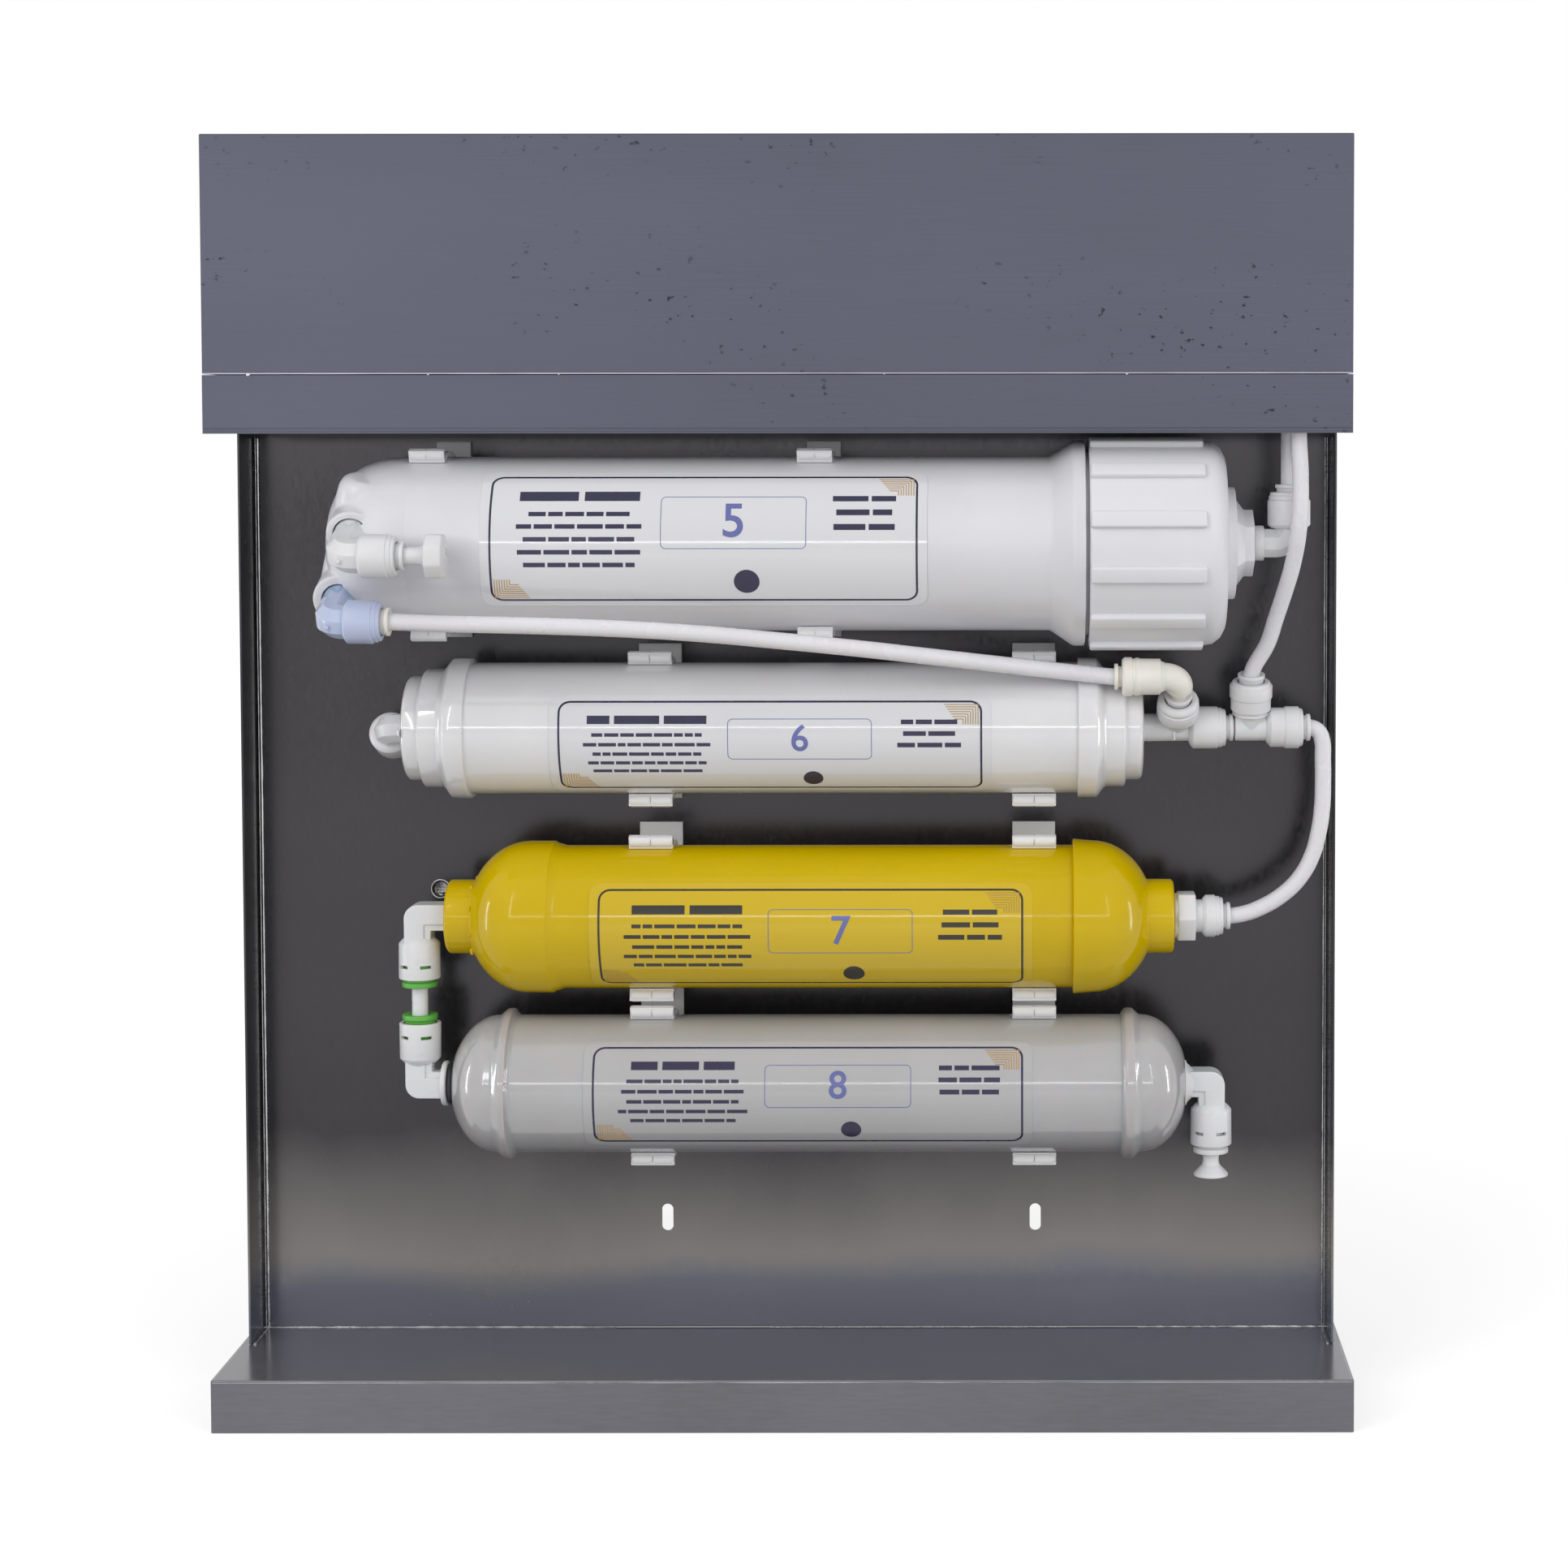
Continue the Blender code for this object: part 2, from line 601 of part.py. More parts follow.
def open_tray(name, width, top, lip, finish):
    """Inverted tray of one sheet: a top with lips down all round."""
    bm = bmesh.new()
    half = width / 2
    loops = []
    for inset, z in ((0, top), (0, top - lip), (SHEET, top - lip), (SHEET, top - SHEET)):
        loops.append([bm.verts.new(place(x, depth, z)) for x, depth in (
            (inset - half, FRONT_DEPTH - inset), (half - inset, FRONT_DEPTH - inset),
            (half - inset, inset - REAR_DEPTH), (inset - half, inset - REAR_DEPTH))])
    for first, second in zip(loops, loops[1:]):
        skin_between(bm, first, second)
    bm.faces.new(loops[0])
    bm.faces.new(loops[-1])
    return add_object(name, bm, finish=finish)


def make_upper_tray(finish):
    """Shelf that the hood stands on, with a hem along its front lip and guides for the hood."""
    tray = open_tray("upper_tray", HOOD_WIDTH, TRAY_TOP, TRAY_LIP, finish)
    reach = HOOD_WIDTH / 2 - SHEET - GAP
    low = TRAY_TOP - TRAY_LIP
    hem = add_object("front_hem", box_mesh(place(-reach, FRONT_DEPTH - SHEET / 2, low),
                                           place(reach, FRONT_DEPTH - HEM_THICKNESS, low + HEM_HEIGHT)))
    add_boolean(tray, hem, "UNION")
    middle = (FRONT_DEPTH - REAR_DEPTH) / 2
    for side, word in ((-1, "left"), (1, "right")):
        outer = side * reach
        inner = outer - side * SHEET
        low = place(min(outer, inner), middle + GUIDE_LENGTH / 2, TRAY_TOP - SHEET / 2)
        high = place(max(outer, inner), middle - GUIDE_LENGTH / 2, TRAY_TOP + GUIDE_HEIGHT)
        guide = add_object("hood_guide_" + word, box_mesh(low, high))
        add_boolean(tray, guide, "UNION")
    bores = ((FEED_HOLE_PLACE, TUBE_HOLE_RADIUS, "feed_hole"), (TANK_HOLE_PLACE, TUBE_HOLE_RADIUS, "tank_hole"),
             ((UNION_X, UNION_DEPTH), UNION_BODY_RADIUS + GAP, "union_hole"))
    for (x, depth), radius, name in bores:
        outline = [(-OVERRUN, radius), (SHEET + OVERRUN, radius)]
        cutter = turned(name, outline, place(x, depth, TRAY_TOP - SHEET), UP, FITTING_SIDES, closed=False)
        add_boolean(tray, cutter, "DIFFERENCE")
    return tray


def make_clip(name, x, depth, z, radius, wrap_deg, finish):
    """Snap clip: plate, foot, two arms round the cartridge with lips, and a peg into the panel."""
    inner = radius + GAP
    outer = inner + CLIP_THICKNESS
    lip = inner + CLIP_LIP
    half_plate = radius + CLIP_PLATE_RISE
    wrap = math.radians(wrap_deg)
    lip_turn = math.radians(CLIP_LIP_DEG)
    foot_angle = math.asin(CLIP_FOOT_HALF / outer)

    def on_arc(reach, angle):
        return (depth - reach * math.cos(angle), reach * math.sin(angle))

    upper = [(GAP, half_plate), (GAP + CLIP_PLATE, half_plate)]
    if depth - outer * math.cos(foot_angle) > GAP + CLIP_PLATE:
        upper.append((GAP + CLIP_PLATE, CLIP_FOOT_HALF))
    for step in range(CLIP_STEPS + 1):
        share = step / CLIP_STEPS
        upper.append(on_arc(outer, foot_angle + (wrap - lip_turn - foot_angle) * share))
    upper += [on_arc(lip, wrap - lip_turn), on_arc(lip, wrap)]
    for step in range(CLIP_STEPS + 1):
        upper.append(on_arc(inner, wrap * (1 - step / CLIP_STEPS)))
    lower = [(along, -rise) for along, rise in reversed(upper[:-1])]
    bm = bmesh.new()
    left = x - CLIP_WIDTH / 2
    face = bm.faces.new([bm.verts.new(place(left, along, z + rise)) for along, rise in upper + lower])
    pushed = bmesh.ops.extrude_face_region(bm, geom=[face])
    moved = [item for item in pushed["geom"] if isinstance(item, bmesh.types.BMVert)]
    bmesh.ops.translate(bm, vec=(CLIP_WIDTH, 0, 0), verts=moved)
    clip = add_object(name, bm, finish=finish)
    outline = [(-CLIP_PLATE / 2, CLIP_PEG_RADIUS), (GAP + CLIP_PEG_LENGTH, CLIP_PEG_RADIUS)]
    peg = turned(name + "_peg", outline, place(x, 0, z), -FORWARD, FITTING_SIDES, closed=False)
    add_boolean(clip, peg, "UNION")
    return clip


def make_clips(finish):
    rows = [("membrane", MEMBRANE_CLIP_X, MEMBRANE_DEPTH, MEMBRANE_Z, MEMBRANE_RADIUS, MEMBRANE_CLIP_WRAP_DEG),
            ("carbon", CLIP_X, CARBON_DEPTH, CARBON_Z, CARBON_RADIUS, CLIP_WRAP_DEG),
            ("mineral", CLIP_X, MINERAL_DEPTH, MINERAL_Z, MINERAL_RADIUS, CLIP_WRAP_DEG),
            ("oxygen", CLIP_X, OXYGEN_DEPTH, OXYGEN_Z, OXYGEN_RADIUS, CLIP_WRAP_DEG)]
    for name, spots, depth, z, radius, wrap_deg in rows:
        for x, word in zip(spots, ("left", "right")):
            make_clip(f"{name}_clip_{word}", x, depth, z, radius, wrap_deg, finish)


def ellipse_end(start, length, wide, narrow, steps=DOME_STEPS):
    """Points of a domed end from its widest ring to the narrow one that closes it."""
    last = math.acos(narrow / wide) if narrow else math.pi / 2
    return [(start + length * math.sin(last * step / steps) / math.sin(last),
             wide * math.cos(last * step / steps)) for step in range(steps + 1)]


def carbon_end(face, inward):
    """Stepped outer outline of a post-carbon end, from its face inward."""
    nose = face + inward * CARBON_NOSE
    step = nose + inward * CARBON_STEP
    slope = step + inward * CARBON_SLOPE
    return [(face, CARBON_NOSE_RADIUS - CARBON_NOSE_EDGE), (face + inward * CARBON_NOSE_EDGE, CARBON_NOSE_RADIUS),
            (nose, CARBON_NOSE_RADIUS), (nose, CARBON_STEP_RADIUS), (step, CARBON_STEP_RADIUS),
            (slope, CARBON_FLANGE_RADIUS), (slope + inward * CARBON_FLANGE, CARBON_FLANGE_RADIUS)]


def carbon_cavity(face, inward):
    """Stepped cavity behind a post-carbon face, from the port inward."""
    floor = face + inward * END_WALL
    neck = face + inward * (CARBON_NOSE + CARTRIDGE_WALL)
    slope = face + inward * (CARBON_NOSE + CARBON_STEP + CARBON_SLOPE)
    narrow = CARBON_NOSE_RADIUS - CARTRIDGE_WALL
    wide = CARBON_STEP_RADIUS - CARTRIDGE_WALL
    return [(face, PORT_BORE_RADIUS), (floor, PORT_BORE_RADIUS), (floor, narrow), (neck, narrow),
            (neck, wide), (slope, wide)]


def make_post_carbon(plastic, filling):
    centre = place(0, CARBON_DEPTH, CARBON_Z)
    inner = CARBON_RADIUS - CARTRIDGE_WALL
    slope_left = CARBON_LEFT_X + CARBON_NOSE + CARBON_STEP + CARBON_SLOPE
    slope_right = CARBON_RIGHT_X - CARBON_NOSE - CARBON_STEP - CARBON_SLOPE
    shell_end = slope_right - GAP
    outline = carbon_end(CARBON_LEFT_X, 1)
    outline += [(slope_left + CARBON_FLANGE, CARBON_RADIUS), (shell_end, CARBON_RADIUS), (shell_end, inner),
                (slope_left, inner)]
    outline += list(reversed(carbon_cavity(CARBON_LEFT_X, 1)))
    turned("post_carbon_shell", outline, centre, RIGHT, FILTER_SIDES, plastic)
    lap = CARBON_RADIUS + GAP
    cap = list(reversed(carbon_end(CARBON_RIGHT_X, -1)))
    cap += carbon_cavity(CARBON_RIGHT_X, -1)
    cap += [(slope_right, lap), (slope_right - CARBON_FLANGE, lap)]
    turned("post_carbon_end_cap", cap, centre, RIGHT, FILTER_SIDES, plastic)
    make_filling("post_carbon_block", centre, slope_left + GAP, shell_end - GAP, inner - GAP, filling)


def make_filling(name, centre, start, end, radius, finish):
    return turned(name, [(start, radius), (end, radius)], centre, RIGHT, FITTING_SIDES, finish, closed=False)


def make_mineral(plastic, filling):
    centre = place(0, MINERAL_DEPTH, MINERAL_Z)
    inner = MINERAL_RADIUS - CARTRIDGE_WALL
    port_inner = MINERAL_PORT_RADIUS - CARTRIDGE_WALL
    port = MINERAL_LEFT_X + MINERAL_PORT_LENGTH
    dome = port + MINERAL_DOME_LENGTH
    shoulder = dome + MINERAL_SHOULDER
    cap_dome = MINERAL_RIGHT_X - MINERAL_PORT_LENGTH - MINERAL_DOME_LENGTH
    cap_start = cap_dome - MINERAL_RIM
    shell_end = cap_dome - GAP
    cavity_length = MINERAL_DOME_LENGTH - CARTRIDGE_WALL

    outline = [(MINERAL_LEFT_X, MINERAL_PORT_RADIUS)]
    outline += list(reversed(ellipse_end(dome, -MINERAL_DOME_LENGTH, MINERAL_DOME_RADIUS, MINERAL_PORT_RADIUS)))
    outline += [(shoulder, MINERAL_DOME_RADIUS), (shoulder + MINERAL_STEP, MINERAL_RADIUS),
                (shell_end, MINERAL_RADIUS), (shell_end, inner)]
    outline += ellipse_end(dome, -cavity_length, inner, port_inner, CAVITY_STEPS)
    outline += [(dome - cavity_length, PORT_BORE_RADIUS), (MINERAL_LEFT_X, PORT_BORE_RADIUS)]
    turned("mineral_shell", outline, centre, RIGHT, FILTER_SIDES, plastic)

    lap = MINERAL_RADIUS + GAP
    cap_inner = MINERAL_DOME_RADIUS - CARTRIDGE_WALL
    cap = [(cap_start, lap), (cap_start, MINERAL_DOME_RADIUS + MINERAL_RIM_FLARE)]
    cap += ellipse_end(cap_dome, MINERAL_DOME_LENGTH, MINERAL_DOME_RADIUS, MINERAL_PORT_RADIUS)
    cap += [(MINERAL_RIGHT_X, MINERAL_PORT_RADIUS), (MINERAL_RIGHT_X, PORT_BORE_RADIUS),
            (cap_dome + cavity_length, PORT_BORE_RADIUS)]
    cap += list(reversed(ellipse_end(cap_dome, cavity_length, cap_inner, port_inner, CAVITY_STEPS)))
    cap += [(cap_dome, lap)]
    turned("mineral_end_cap", cap, centre, RIGHT, FILTER_SIDES, plastic)
    make_filling("mineral_ball_bed", centre, dome + GAP, shell_end - GAP, inner - GAP, filling)


def bulge(middle, outward):
    """Raised ring round an oxygen cartridge, in the order that the outline runs."""
    half = outward * OXYGEN_BULGE_LENGTH / 2
    return [(middle - half, OXYGEN_RADIUS), (middle - half / 2, OXYGEN_BULGE_RADIUS),
            (middle + half / 2, OXYGEN_BULGE_RADIUS), (middle + half, OXYGEN_RADIUS)]


def make_oxygen(plastic, filling):
    centre = place(0, OXYGEN_DEPTH, OXYGEN_Z)
    inner = OXYGEN_RADIUS - CARTRIDGE_WALL
    face_inner = OXYGEN_FACE_RADIUS - CARTRIDGE_WALL
    left_dome = OXYGEN_LEFT_X + OXYGEN_END_LENGTH
    right_dome = OXYGEN_RIGHT_X - OXYGEN_END_LENGTH
    right_bulge = OXYGEN_RIGHT_X - OXYGEN_BULGE_INSET
    cap_start = right_bulge - OXYGEN_BULGE_LENGTH / 2
    lap_end = right_bulge + OXYGEN_BULGE_LENGTH / 4
    cavity_length = OXYGEN_END_LENGTH - END_WALL / 2

    outline = list(reversed(ellipse_end(left_dome, -OXYGEN_END_LENGTH, OXYGEN_RADIUS, OXYGEN_FACE_RADIUS)))
    outline += bulge(OXYGEN_LEFT_X + OXYGEN_BULGE_INSET, 1)
    outline += [(lap_end - GAP, OXYGEN_RADIUS), (lap_end - GAP, inner)]
    outline += ellipse_end(left_dome, -cavity_length, inner, face_inner, CAVITY_STEPS)
    outline += [(left_dome - cavity_length, PORT_BORE_RADIUS), (OXYGEN_LEFT_X, PORT_BORE_RADIUS)]
    turned("oxygen_shell", outline, centre, RIGHT, FILTER_SIDES, plastic)

    lap = OXYGEN_RADIUS + GAP
    cap = [(cap_start, lap)] + bulge(right_bulge, 1)[1:]
    cap += ellipse_end(right_dome, OXYGEN_END_LENGTH, OXYGEN_RADIUS, OXYGEN_FACE_RADIUS)
    cap += [(OXYGEN_RIGHT_X, PORT_BORE_RADIUS), (right_dome + cavity_length, PORT_BORE_RADIUS)]
    cap += list(reversed(ellipse_end(right_dome, cavity_length, inner, face_inner, CAVITY_STEPS)))
    cap += [(lap_end, inner), (lap_end, lap)]
    turned("oxygen_end_cap", cap, centre, RIGHT, FILTER_SIDES, plastic)
    make_filling("oxygen_ball_bed", centre, left_dome + GAP, lap_end - 2 * GAP, inner - GAP, filling)


MANIFOLD_OUT = FORWARD * math.cos(BOSS_TURN) - UP * math.sin(BOSS_TURN)
MANIFOLD_UP = UP * math.cos(BOSS_TURN) + FORWARD * math.sin(BOSS_TURN)


def manifold_point(x, out, rise):
    """World point from a place in the housing's rolled frame, about its own axis."""
    return place(x, MEMBRANE_DEPTH, MEMBRANE_Z) + MANIFOLD_OUT * out + MANIFOLD_UP * rise


def capsule_outline(length, radius, steps=3):
    start = [(-radius * math.cos(math.pi / 2 * step / steps), radius * math.sin(math.pi / 2 * step / steps))
             for step in range(steps + 1)]
    start[0] = (-radius, 0)
    return start + [(length - along, reach) for along, reach in reversed(start)]


def make_membrane_housing(plastic):
    centre = place(0, MEMBRANE_DEPTH, MEMBRANE_Z)
    inner = MEMBRANE_RADIUS - MEMBRANE_WALL
    spigot_end = COLLAR_END_X + SPIGOT_LENGTH
    outline = list(reversed(ellipse_end(MEMBRANE_DOME_X, -MEMBRANE_DOME_LENGTH, MEMBRANE_RADIUS, 0)))
    outline[0] = (MEMBRANE_DOME_X - MEMBRANE_DOME_LENGTH, 0)
    outline += [(COLLAR_START_X, MEMBRANE_RADIUS), (COLLAR_START_X + COLLAR_SLOPE, COLLAR_RADIUS),
                (COLLAR_END_X, COLLAR_RADIUS), (COLLAR_END_X, SPIGOT_RADIUS), (spigot_end, SPIGOT_RADIUS)]
    housing = turned("membrane_housing", outline, centre, RIGHT, FILTER_SIDES, plastic, closed=False)

    lean = (BOSS_X[0] - BOSS_X[1]) / (2 * BOSS_RISE)
    bottom = manifold_point(BOSS_X[1], COLUMN_FORWARD, -BOSS_RISE)
    top = manifold_point(BOSS_X[0] + lean * (COLUMN_TOP - BOSS_RISE), COLUMN_FORWARD, COLUMN_TOP)
    column = turned("manifold_column", capsule_outline((top - bottom).length, COLUMN_RADIUS), bottom,
                    top - bottom, FITTING_SIDES, closed=False)
    add_boolean(housing, column, "UNION")
    for x, radius, rise, word in zip(BOSS_X, BOSS_RADII, (BOSS_RISE, -BOSS_RISE), ("upper", "lower")):
        outline = [(0, radius), (BOSS_REACH - SOCKET_EDGE, radius), (BOSS_REACH, radius - SOCKET_EDGE)]
        boss = turned(word + "_boss", outline, manifold_point(x, 0, rise), MANIFOLD_OUT, FITTING_SIDES,
                      closed=False)
        add_boolean(housing, boss, "UNION")

    cavity_dome = MEMBRANE_DOME_LENGTH - MEMBRANE_WALL
    cavity = list(reversed(ellipse_end(MEMBRANE_DOME_X, -cavity_dome, inner, 0, CAVITY_STEPS)))
    cavity[0] = (MEMBRANE_DOME_X - cavity_dome, 0)
    cavity += [(spigot_end + OVERRUN, inner)]
    hollow = turned("housing_cavity", cavity, centre, RIGHT, FILTER_SIDES, closed=False)
    add_boolean(housing, hollow, "DIFFERENCE")
    for x, rise, word in zip(BOSS_X, (BOSS_RISE, -BOSS_RISE), ("upper", "lower")):
        floor = BOSS_REACH - BOSS_BORE_DEPTH
        bore = [(0, WATERWAY_RADIUS), (floor, WATERWAY_RADIUS), (floor, PORT_BORE_RADIUS),
                (BOSS_REACH + OVERRUN, PORT_BORE_RADIUS)]
        cutter = turned(word + "_boss_bore", bore, manifold_point(x, 0, rise), MANIFOLD_OUT, FITTING_SIDES,
                        closed=False)
        add_boolean(housing, cutter, "DIFFERENCE")


def make_membrane_cap(plastic, rubber, film):
    start = COLLAR_END_X + CAP_GAP
    end = start + CAP_LENGTH
    centre = place(start, MEMBRANE_DEPTH, MEMBRANE_Z)
    bore = CAP_RADIUS - CAP_WALL
    shoulder = CAP_LENGTH - CAP_ROUNDING
    ring = CAP_LENGTH + CAP_RING_LENGTH
    hex_start = ring + CAP_HEX_LENGTH / 2
    tip = ring + CAP_HEX_LENGTH
    floor = CAP_LENGTH - END_WALL
    outline = [(0, CAP_RADIUS, RIBBED), (RIB_LENGTH, CAP_RADIUS, RIBBED), (RIB_LENGTH, CAP_RADIUS),
               (shoulder, CAP_RADIUS), (CAP_LENGTH - CAP_ROUNDING / 4, CAP_RADIUS - CAP_ROUNDING / 3),
               (CAP_LENGTH, CAP_RADIUS - CAP_ROUNDING), (CAP_LENGTH, CAP_RING_RADIUS), (ring, CAP_RING_RADIUS),
               (ring, CAP_GUSSET_RADIUS, HEX), (hex_start, CAP_HEX_RADIUS, HEX), (tip, CAP_HEX_RADIUS, HEX),
               (tip, PORT_BORE_RADIUS), (floor, PORT_BORE_RADIUS), (floor, bore), (0, bore)]
    cap = turned("membrane_cap", outline, centre, RIGHT, FILTER_SIDES, plastic)

    seal_middle = place(COLLAR_END_X + SPIGOT_LENGTH + GAP + SEAL_RADIUS, MEMBRANE_DEPTH, MEMBRANE_Z)
    ring_solid_torus("membrane_cap_seal", seal_middle, RIGHT, SPIGOT_RADIUS - SEAL_RADIUS, SEAL_RADIUS, rubber,
                     FILTER_SIDES)

    inner = MEMBRANE_RADIUS - MEMBRANE_WALL
    element_end = COLLAR_END_X + SPIGOT_LENGTH - ELEMENT_CORE_LENGTH
    element_start = MEMBRANE_DOME_X + ELEMENT_INSET
    seal = inner - GAP
    outline = [(element_start - ELEMENT_CORE_LENGTH, ELEMENT_CORE_RADIUS), (element_start, ELEMENT_CORE_RADIUS),
               (element_start, seal), (element_start + ELEMENT_SEAL_WIDTH, seal),
               (element_start + ELEMENT_SEAL_WIDTH, ELEMENT_RADIUS), (element_end, ELEMENT_RADIUS),
               (element_end, ELEMENT_CORE_RADIUS), (element_end + ELEMENT_CORE_LENGTH, ELEMENT_CORE_RADIUS)]
    turned("membrane_element", outline, place(0, MEMBRANE_DEPTH, MEMBRANE_Z), RIGHT, 2 * FITTING_SIDES, film,
           closed=False)
    return cap, end


def ring_solid_torus(name, middle, direction, reach, radius, finish, sides=FITTING_SIDES, steps=RING_STEPS):
    outline = [(radius * math.cos(2 * math.pi * step / steps), reach + radius * math.sin(2 * math.pi * step / steps))
               for step in range(steps)]
    return turned(name, outline, middle, direction, sides, finish)


def arm_run(radius=ARM_RADIUS):
    return [(BEND_RADIUS, radius)]


def socket_arm(start, length, radius):
    """Elbow's socket side, outside and inside, each from the bend to the mouth."""
    outer = arm_run() + socket_outer(start, length, radius)
    bore = arm_run(WATERWAY_RADIUS) + socket_bore(start, length, radius)
    return outer, bore


def threaded_arm(face):
    """Elbow's threaded side: an arm up to the port's face, then a thread inside the port."""
    end = face + THREAD_LENGTH
    outer = arm_run() + [(face - 2 * GAP, ARM_RADIUS), (face - 2 * GAP, THREAD_RADIUS), (end, THREAD_RADIUS)]
    bore = arm_run(WATERWAY_RADIUS) + [(end, WATERWAY_RADIUS)]
    return outer, bore


def make_manifold_elbows(materials):
    """Brine elbow with its plug and permeate elbow, on the housing's two bosses."""
    places = (("brine_elbow", "brine_collet", BOSS_X[0], BOSS_RISE, BRINE_REACH, BRINE_ARM, "fitting", "fitting"),
              ("permeate_elbow", "permeate_collet", BOSS_X[1], -BOSS_RISE, PERMEATE_REACH, PERMEATE_ARM, "blue",
               "cream"))
    corners = []
    for name, collet_name, x, rise, reach, arm, finish, collet_finish in places:
        corner = manifold_point(x, BOSS_REACH + reach, rise)
        stem, stem_bore = threaded_arm(reach)
        socket, bore = socket_arm(arm, SOCKET_LENGTH, SOCKET_RADIUS)
        bent(name, corner, -MANIFOLD_OUT, RIGHT, stem, socket, stem_bore, bore, materials[finish])
        mouth = corner + RIGHT * (arm + SOCKET_LENGTH)
        collet(collet_name, mouth, RIGHT, finish=materials[collet_finish])
        corners.append(mouth)
    plug_outline = [(-TUBE_INSERTION, TUBE_RADIUS), (PLUG_NECK + COLLET_TRAVEL, TUBE_RADIUS),
                    (PLUG_NECK + COLLET_TRAVEL, PLUG_HEAD_RADIUS),
                    (PLUG_NECK + COLLET_TRAVEL + PLUG_HEAD, PLUG_HEAD_RADIUS)]
    turned("brine_plug", plug_outline, corners[0], RIGHT, FITTING_SIDES, materials["fitting"], closed=False)
    return corners[1]


def solid_socket(start, length, radius, neck):
    return [(0, neck), (start, neck)] + socket_outer(start, length, radius, neck)[1:]


def make_tee(name, main_outline, main_bore, centre, branch_x, branch_way, branch_start, finish):
    """Straight body with a socket on its side, bored through both ways."""
    body = turned(name, main_outline, centre, RIGHT, FITTING_SIDES, finish, closed=False)
    root = centre + RIGHT * branch_x
    neck = ARM_RADIUS * math.cos(math.pi / FITTING_SIDES) - GAP
    branch = turned(name + "_branch", solid_socket(branch_start, SOCKET_LENGTH, SOCKET_RADIUS, neck), root,
                    branch_way, FITTING_SIDES, closed=False)
    add_boolean(body, branch, "UNION")
    hole = turned(name + "_bore", main_bore, centre, RIGHT, FITTING_SIDES, closed=False)
    add_boolean(body, hole, "DIFFERENCE")
    mouth = branch_start + SOCKET_LENGTH
    floor = mouth - SOCKET_BORE_DEPTH
    wide = SOCKET_RADIUS - SOCKET_WALL
    branch_bore = [(0, WATERWAY_RADIUS), (floor, WATERWAY_RADIUS), (floor, wide), (mouth + OVERRUN, wide)]
    side_hole = turned(name + "_branch_bore", branch_bore, root, branch_way, FITTING_SIDES, closed=False)
    add_boolean(body, side_hole, "DIFFERENCE")
    return root + branch_way * mouth


def run_outline(start, thread_end, socket_start, stem_radius):
    """Tee's body from its stem to its right socket, solid and bore."""
    mouth = socket_start + SOCKET_LENGTH
    outline = [(start, stem_radius), (thread_end, stem_radius), (thread_end, ARM_RADIUS)]
    outline += socket_outer(socket_start, SOCKET_LENGTH, SOCKET_RADIUS)
    floor = mouth - SOCKET_BORE_DEPTH
    wide = SOCKET_RADIUS - SOCKET_WALL
    bore = [(start - OVERRUN, WATERWAY_RADIUS), (floor, WATERWAY_RADIUS), (floor, wide), (mouth + OVERRUN, wide)]
    return outline, bore, mouth


def make_tank_branch(materials):
    """Two tees and an elbow that join the membrane, the tank and the cartridges."""
    white = materials["fitting"]
    centre = place(0, CARBON_DEPTH, CARBON_Z)
    outline, bore, mouth_x = run_outline(CARBON_RIGHT_X - THREAD_LENGTH, CARBON_RIGHT_X + 2 * GAP,
                                         TEE_SOCKET_X, THREAD_RADIUS)
    tilt = math.radians(TEE_TILT_DEG)
    stem_way = FORWARD * math.cos(tilt) + UP * math.sin(tilt)
    stem_mouth = make_tee("post_carbon_tee", outline, bore, centre, STEM_ELBOW_X, stem_way, TEE_BRANCH, white)
    collet("post_carbon_tee_upper_collet", stem_mouth, stem_way, finish=white)
    run_mouth = centre + RIGHT * mouth_x
    collet("post_carbon_tee_collet", run_mouth, RIGHT, finish=white)

    corner = centre + RIGHT * STEM_ELBOW_X + stem_way * STEM_ELBOW_REACH
    stem_end = STEM_ELBOW_REACH - (TEE_BRANCH + SOCKET_LENGTH - TUBE_INSERTION)
    stem = arm_run() + [(BEND_RADIUS + SOCKET_EDGE, ARM_RADIUS), (BEND_RADIUS + SOCKET_EDGE, TUBE_RADIUS),
                        (stem_end, TUBE_RADIUS)]
    stem_bore = arm_run(WATERWAY_RADIUS) + [(stem_end, WATERWAY_RADIUS)]
    socket, socket_inside = socket_arm(STEM_ELBOW_ARM, STEM_SOCKET_LENGTH, STEM_SOCKET_RADIUS)
    bent("stem_elbow", corner, -stem_way, -RIGHT, stem, socket, stem_bore, socket_inside, materials["cream"])
    elbow_mouth = corner - RIGHT * (STEM_ELBOW_ARM + STEM_SOCKET_LENGTH)
    collet("stem_elbow_collet", elbow_mouth, -RIGHT, STEM_SOCKET_RADIUS, finish=materials["cream"])

    stem_start = mouth_x - TUBE_INSERTION
    outline, bore, mouth_x = run_outline(stem_start, TANK_TEE_START_X, TANK_TEE_SOCKET_X, TUBE_RADIUS)
    lean = math.radians(TANK_TEE_LEAN_DEG)
    tank_way = UP * math.cos(lean) + FORWARD * math.sin(lean)
    tank_mouth = make_tee("tank_tee", outline, bore, centre, TANK_TEE_X, tank_way, TANK_TEE_BRANCH, white)
    collet("tank_tee_upper_collet", tank_mouth, tank_way, finish=white)
    loop_mouth = centre + RIGHT * mouth_x
    collet("tank_tee_collet", loop_mouth, RIGHT, finish=white)
    return elbow_mouth, tank_mouth, tank_way, loop_mouth


